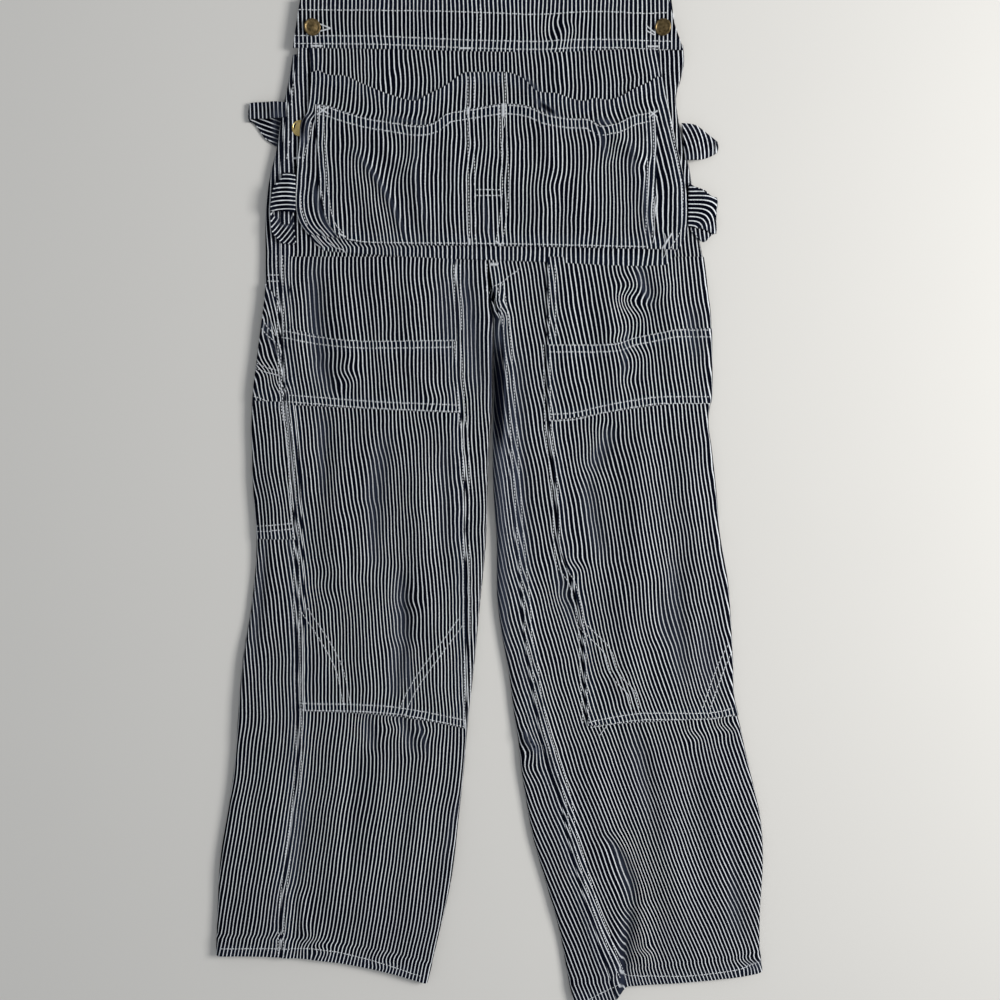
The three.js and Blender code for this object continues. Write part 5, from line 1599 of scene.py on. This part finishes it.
class OVERALLS_OT_metalwork(bpy.types.Operator):
    """Buttons, strap buckles and slides"""
    bl_idname = "overalls.metalwork"
    bl_label = "Buttons and Buckles"

    def execute(self, context):
        for side, hand in (("right", -1), ("left", 1)):
            for part, place, tilt in (
                ("waist_button", (hand * WAIST_BUTTON_X, WAIST_BUTTON_Y, WAISTBAND_TOP + 0.2),
                 (6, 6 if hand < 0 else -18)),
                ("bib_button", (hand * STRAP_X, BIB_BUTTON_Y, BIB_TOP + 0.3), (0, 0)),
            ):
                mesh = button_mesh(f"{part}_{side}_metal", place, tilt)
                add_piece(f"{part}_{side}_metal", mesh, aged_brass(), [f"{part}_{side}"])
            for part in ("strap_buckle", "strap_slide"):
                mesh = bevelled_copy(f"{part}_{side}_metal", f"{part}_{side}", 0.35)
                add_piece(f"{part}_{side}_metal", mesh, steel(), [f"{part}_{side}"])
        place = (SIDE_BUTTON_X, SIDE_BUTTON_Y, LIE_HEIGHT - 2)
        mesh = button_mesh("side_button_metal", place, (-4, 4))
        add_piece("side_button_metal", mesh, bright_brass(), ["side_button_right"])
        return {"FINISHED"}


class OVERALLS_OT_stitching(bpy.types.Operator):
    """Topstitching, tacks, buttonholes and loose thread ends"""
    bl_idname = "overalls.stitching"
    bl_label = "Stitching"

    def execute(self, context):
        surfaces = Surfaces()
        for group in SEAMS:
            name = f"stitches_{group}"
            add_piece(name, join_grains(name, sew(group, surfaces)), sewing_thread())
        frames = []
        for row in rows_of(TACKS):
            frames += tack(row, surfaces)
        for row in rows_of(BUTTONHOLES):
            frames += tack({**row, "width": 1.6}, surfaces)
        add_piece("tacks", join_grains("tacks", frames), sewing_thread())
        lines = []
        for ends in THREAD_ENDS:
            line = []
            for x, y, rise in ends:
                place, _ = surfaces.under(x, y)
                line.append(place + Vector((0, 0, rise * MM)))
            lines.append(line)
        add_piece("thread_ends", tube_mesh("thread_ends", lines, 0.0003), sewing_thread())
        return {"FINISHED"}


class OVERALLS_OT_stage(bpy.types.Operator):
    """Pale floor, soft studio light and the camera above"""
    bl_idname = "overalls.stage"
    bl_label = "Stage"

    def execute(self, context):
        scene = context.scene
        settings = scene.overalls_stage
        bm = bmesh.new()
        bmesh.ops.create_grid(bm, x_segments=1, y_segments=1, size=4)
        mesh = finished_mesh(bm, "floor")
        floor = bpy.data.objects.new("floor", mesh)
        floor.location.z = -0.0004
        mesh.materials.append(pale_floor())
        scene.collection.objects.link(floor)

        key = bpy.data.lights.new("key", "AREA")
        key.shape = "RECTANGLE"
        key.size, key.size_y = 0.95, 0.85
        key.energy = settings.key
        key.color = (1.0, 0.98, 0.94)
        key_object = bpy.data.objects.new("key", key)
        key_object.location = (1.9, -0.1, 1.45)
        aim = Vector((0.0, -0.55, 0)) - key_object.location
        key_object.rotation_euler = aim.to_track_quat("-Z", "Y").to_euler()
        scene.collection.objects.link(key_object)

        world = bpy.data.worlds.new("surroundings")
        world.use_nodes = True
        background = world.node_tree.nodes["Background"]
        background.inputs["Color"].default_value = (0.94, 0.97, 1.0, 1)
        background.inputs["Strength"].default_value = settings.fill
        scene.world = world
        scene.view_settings.view_transform = "Standard"

        camera = bpy.data.cameras.new("camera")
        camera.angle = math.radians(46)
        camera.clip_start = 0.05
        camera_object = bpy.data.objects.new("camera", camera)
        camera_object.location = (0.01258, -0.33998, 1.27697)
        camera_object.rotation_euler = (math.radians(-6), 0, 0)
        scene.collection.objects.link(camera_object)
        scene.camera = camera_object
        return {"FINISHED"}


OPERATORS = (
    OVERALLS_OT_legs, OVERALLS_OT_patches, OVERALLS_OT_ruler_pocket, OVERALLS_OT_apron, OVERALLS_OT_waist,
    OVERALLS_OT_straps, OVERALLS_OT_loops, OVERALLS_OT_metalwork, OVERALLS_OT_stitching, OVERALLS_OT_stage,
)


class OVERALLS_PT_panel(bpy.types.Panel):
    """The pieces of the overalls and their settings"""
    bl_idname = "OVERALLS_PT_panel"
    bl_label = "Overalls"
    bl_space_type = "VIEW_3D"
    bl_region_type = "UI"
    bl_category = "Overalls"

    def draw(self, context):
        layout = self.layout
        for group in SETTINGS:
            box = layout.box()
            owner = getattr(context.scene, group)
            for name in owner.__annotations__:
                box.prop(owner, name)
        for operator in OPERATORS:
            layout.operator(operator.bl_idname)


SETTINGS = {
    "overalls_cloth": OverallsCloth,
    "overalls_thread": OverallsThread,
    "overalls_metal": OverallsMetal,
    "overalls_stage": OverallsStage,
}


def register():
    for cls in (*SETTINGS.values(), *OPERATORS, OVERALLS_PT_panel):
        bpy.utils.register_class(cls)
    for name, cls in SETTINGS.items():
        setattr(bpy.types.Scene, name, PointerProperty(type=cls))


def unregister():
    for name in SETTINGS:
        delattr(bpy.types.Scene, name)
    for cls in reversed((*SETTINGS.values(), *OPERATORS, OVERALLS_PT_panel)):
        bpy.utils.unregister_class(cls)


def main():
    """Makes the whole garment and its stage."""
    register()
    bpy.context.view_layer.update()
    for operator in OPERATORS:
        group, name = operator.bl_idname.split(".")
        getattr(getattr(bpy.ops, group), name)()


if __name__ == "__main__":
    main()
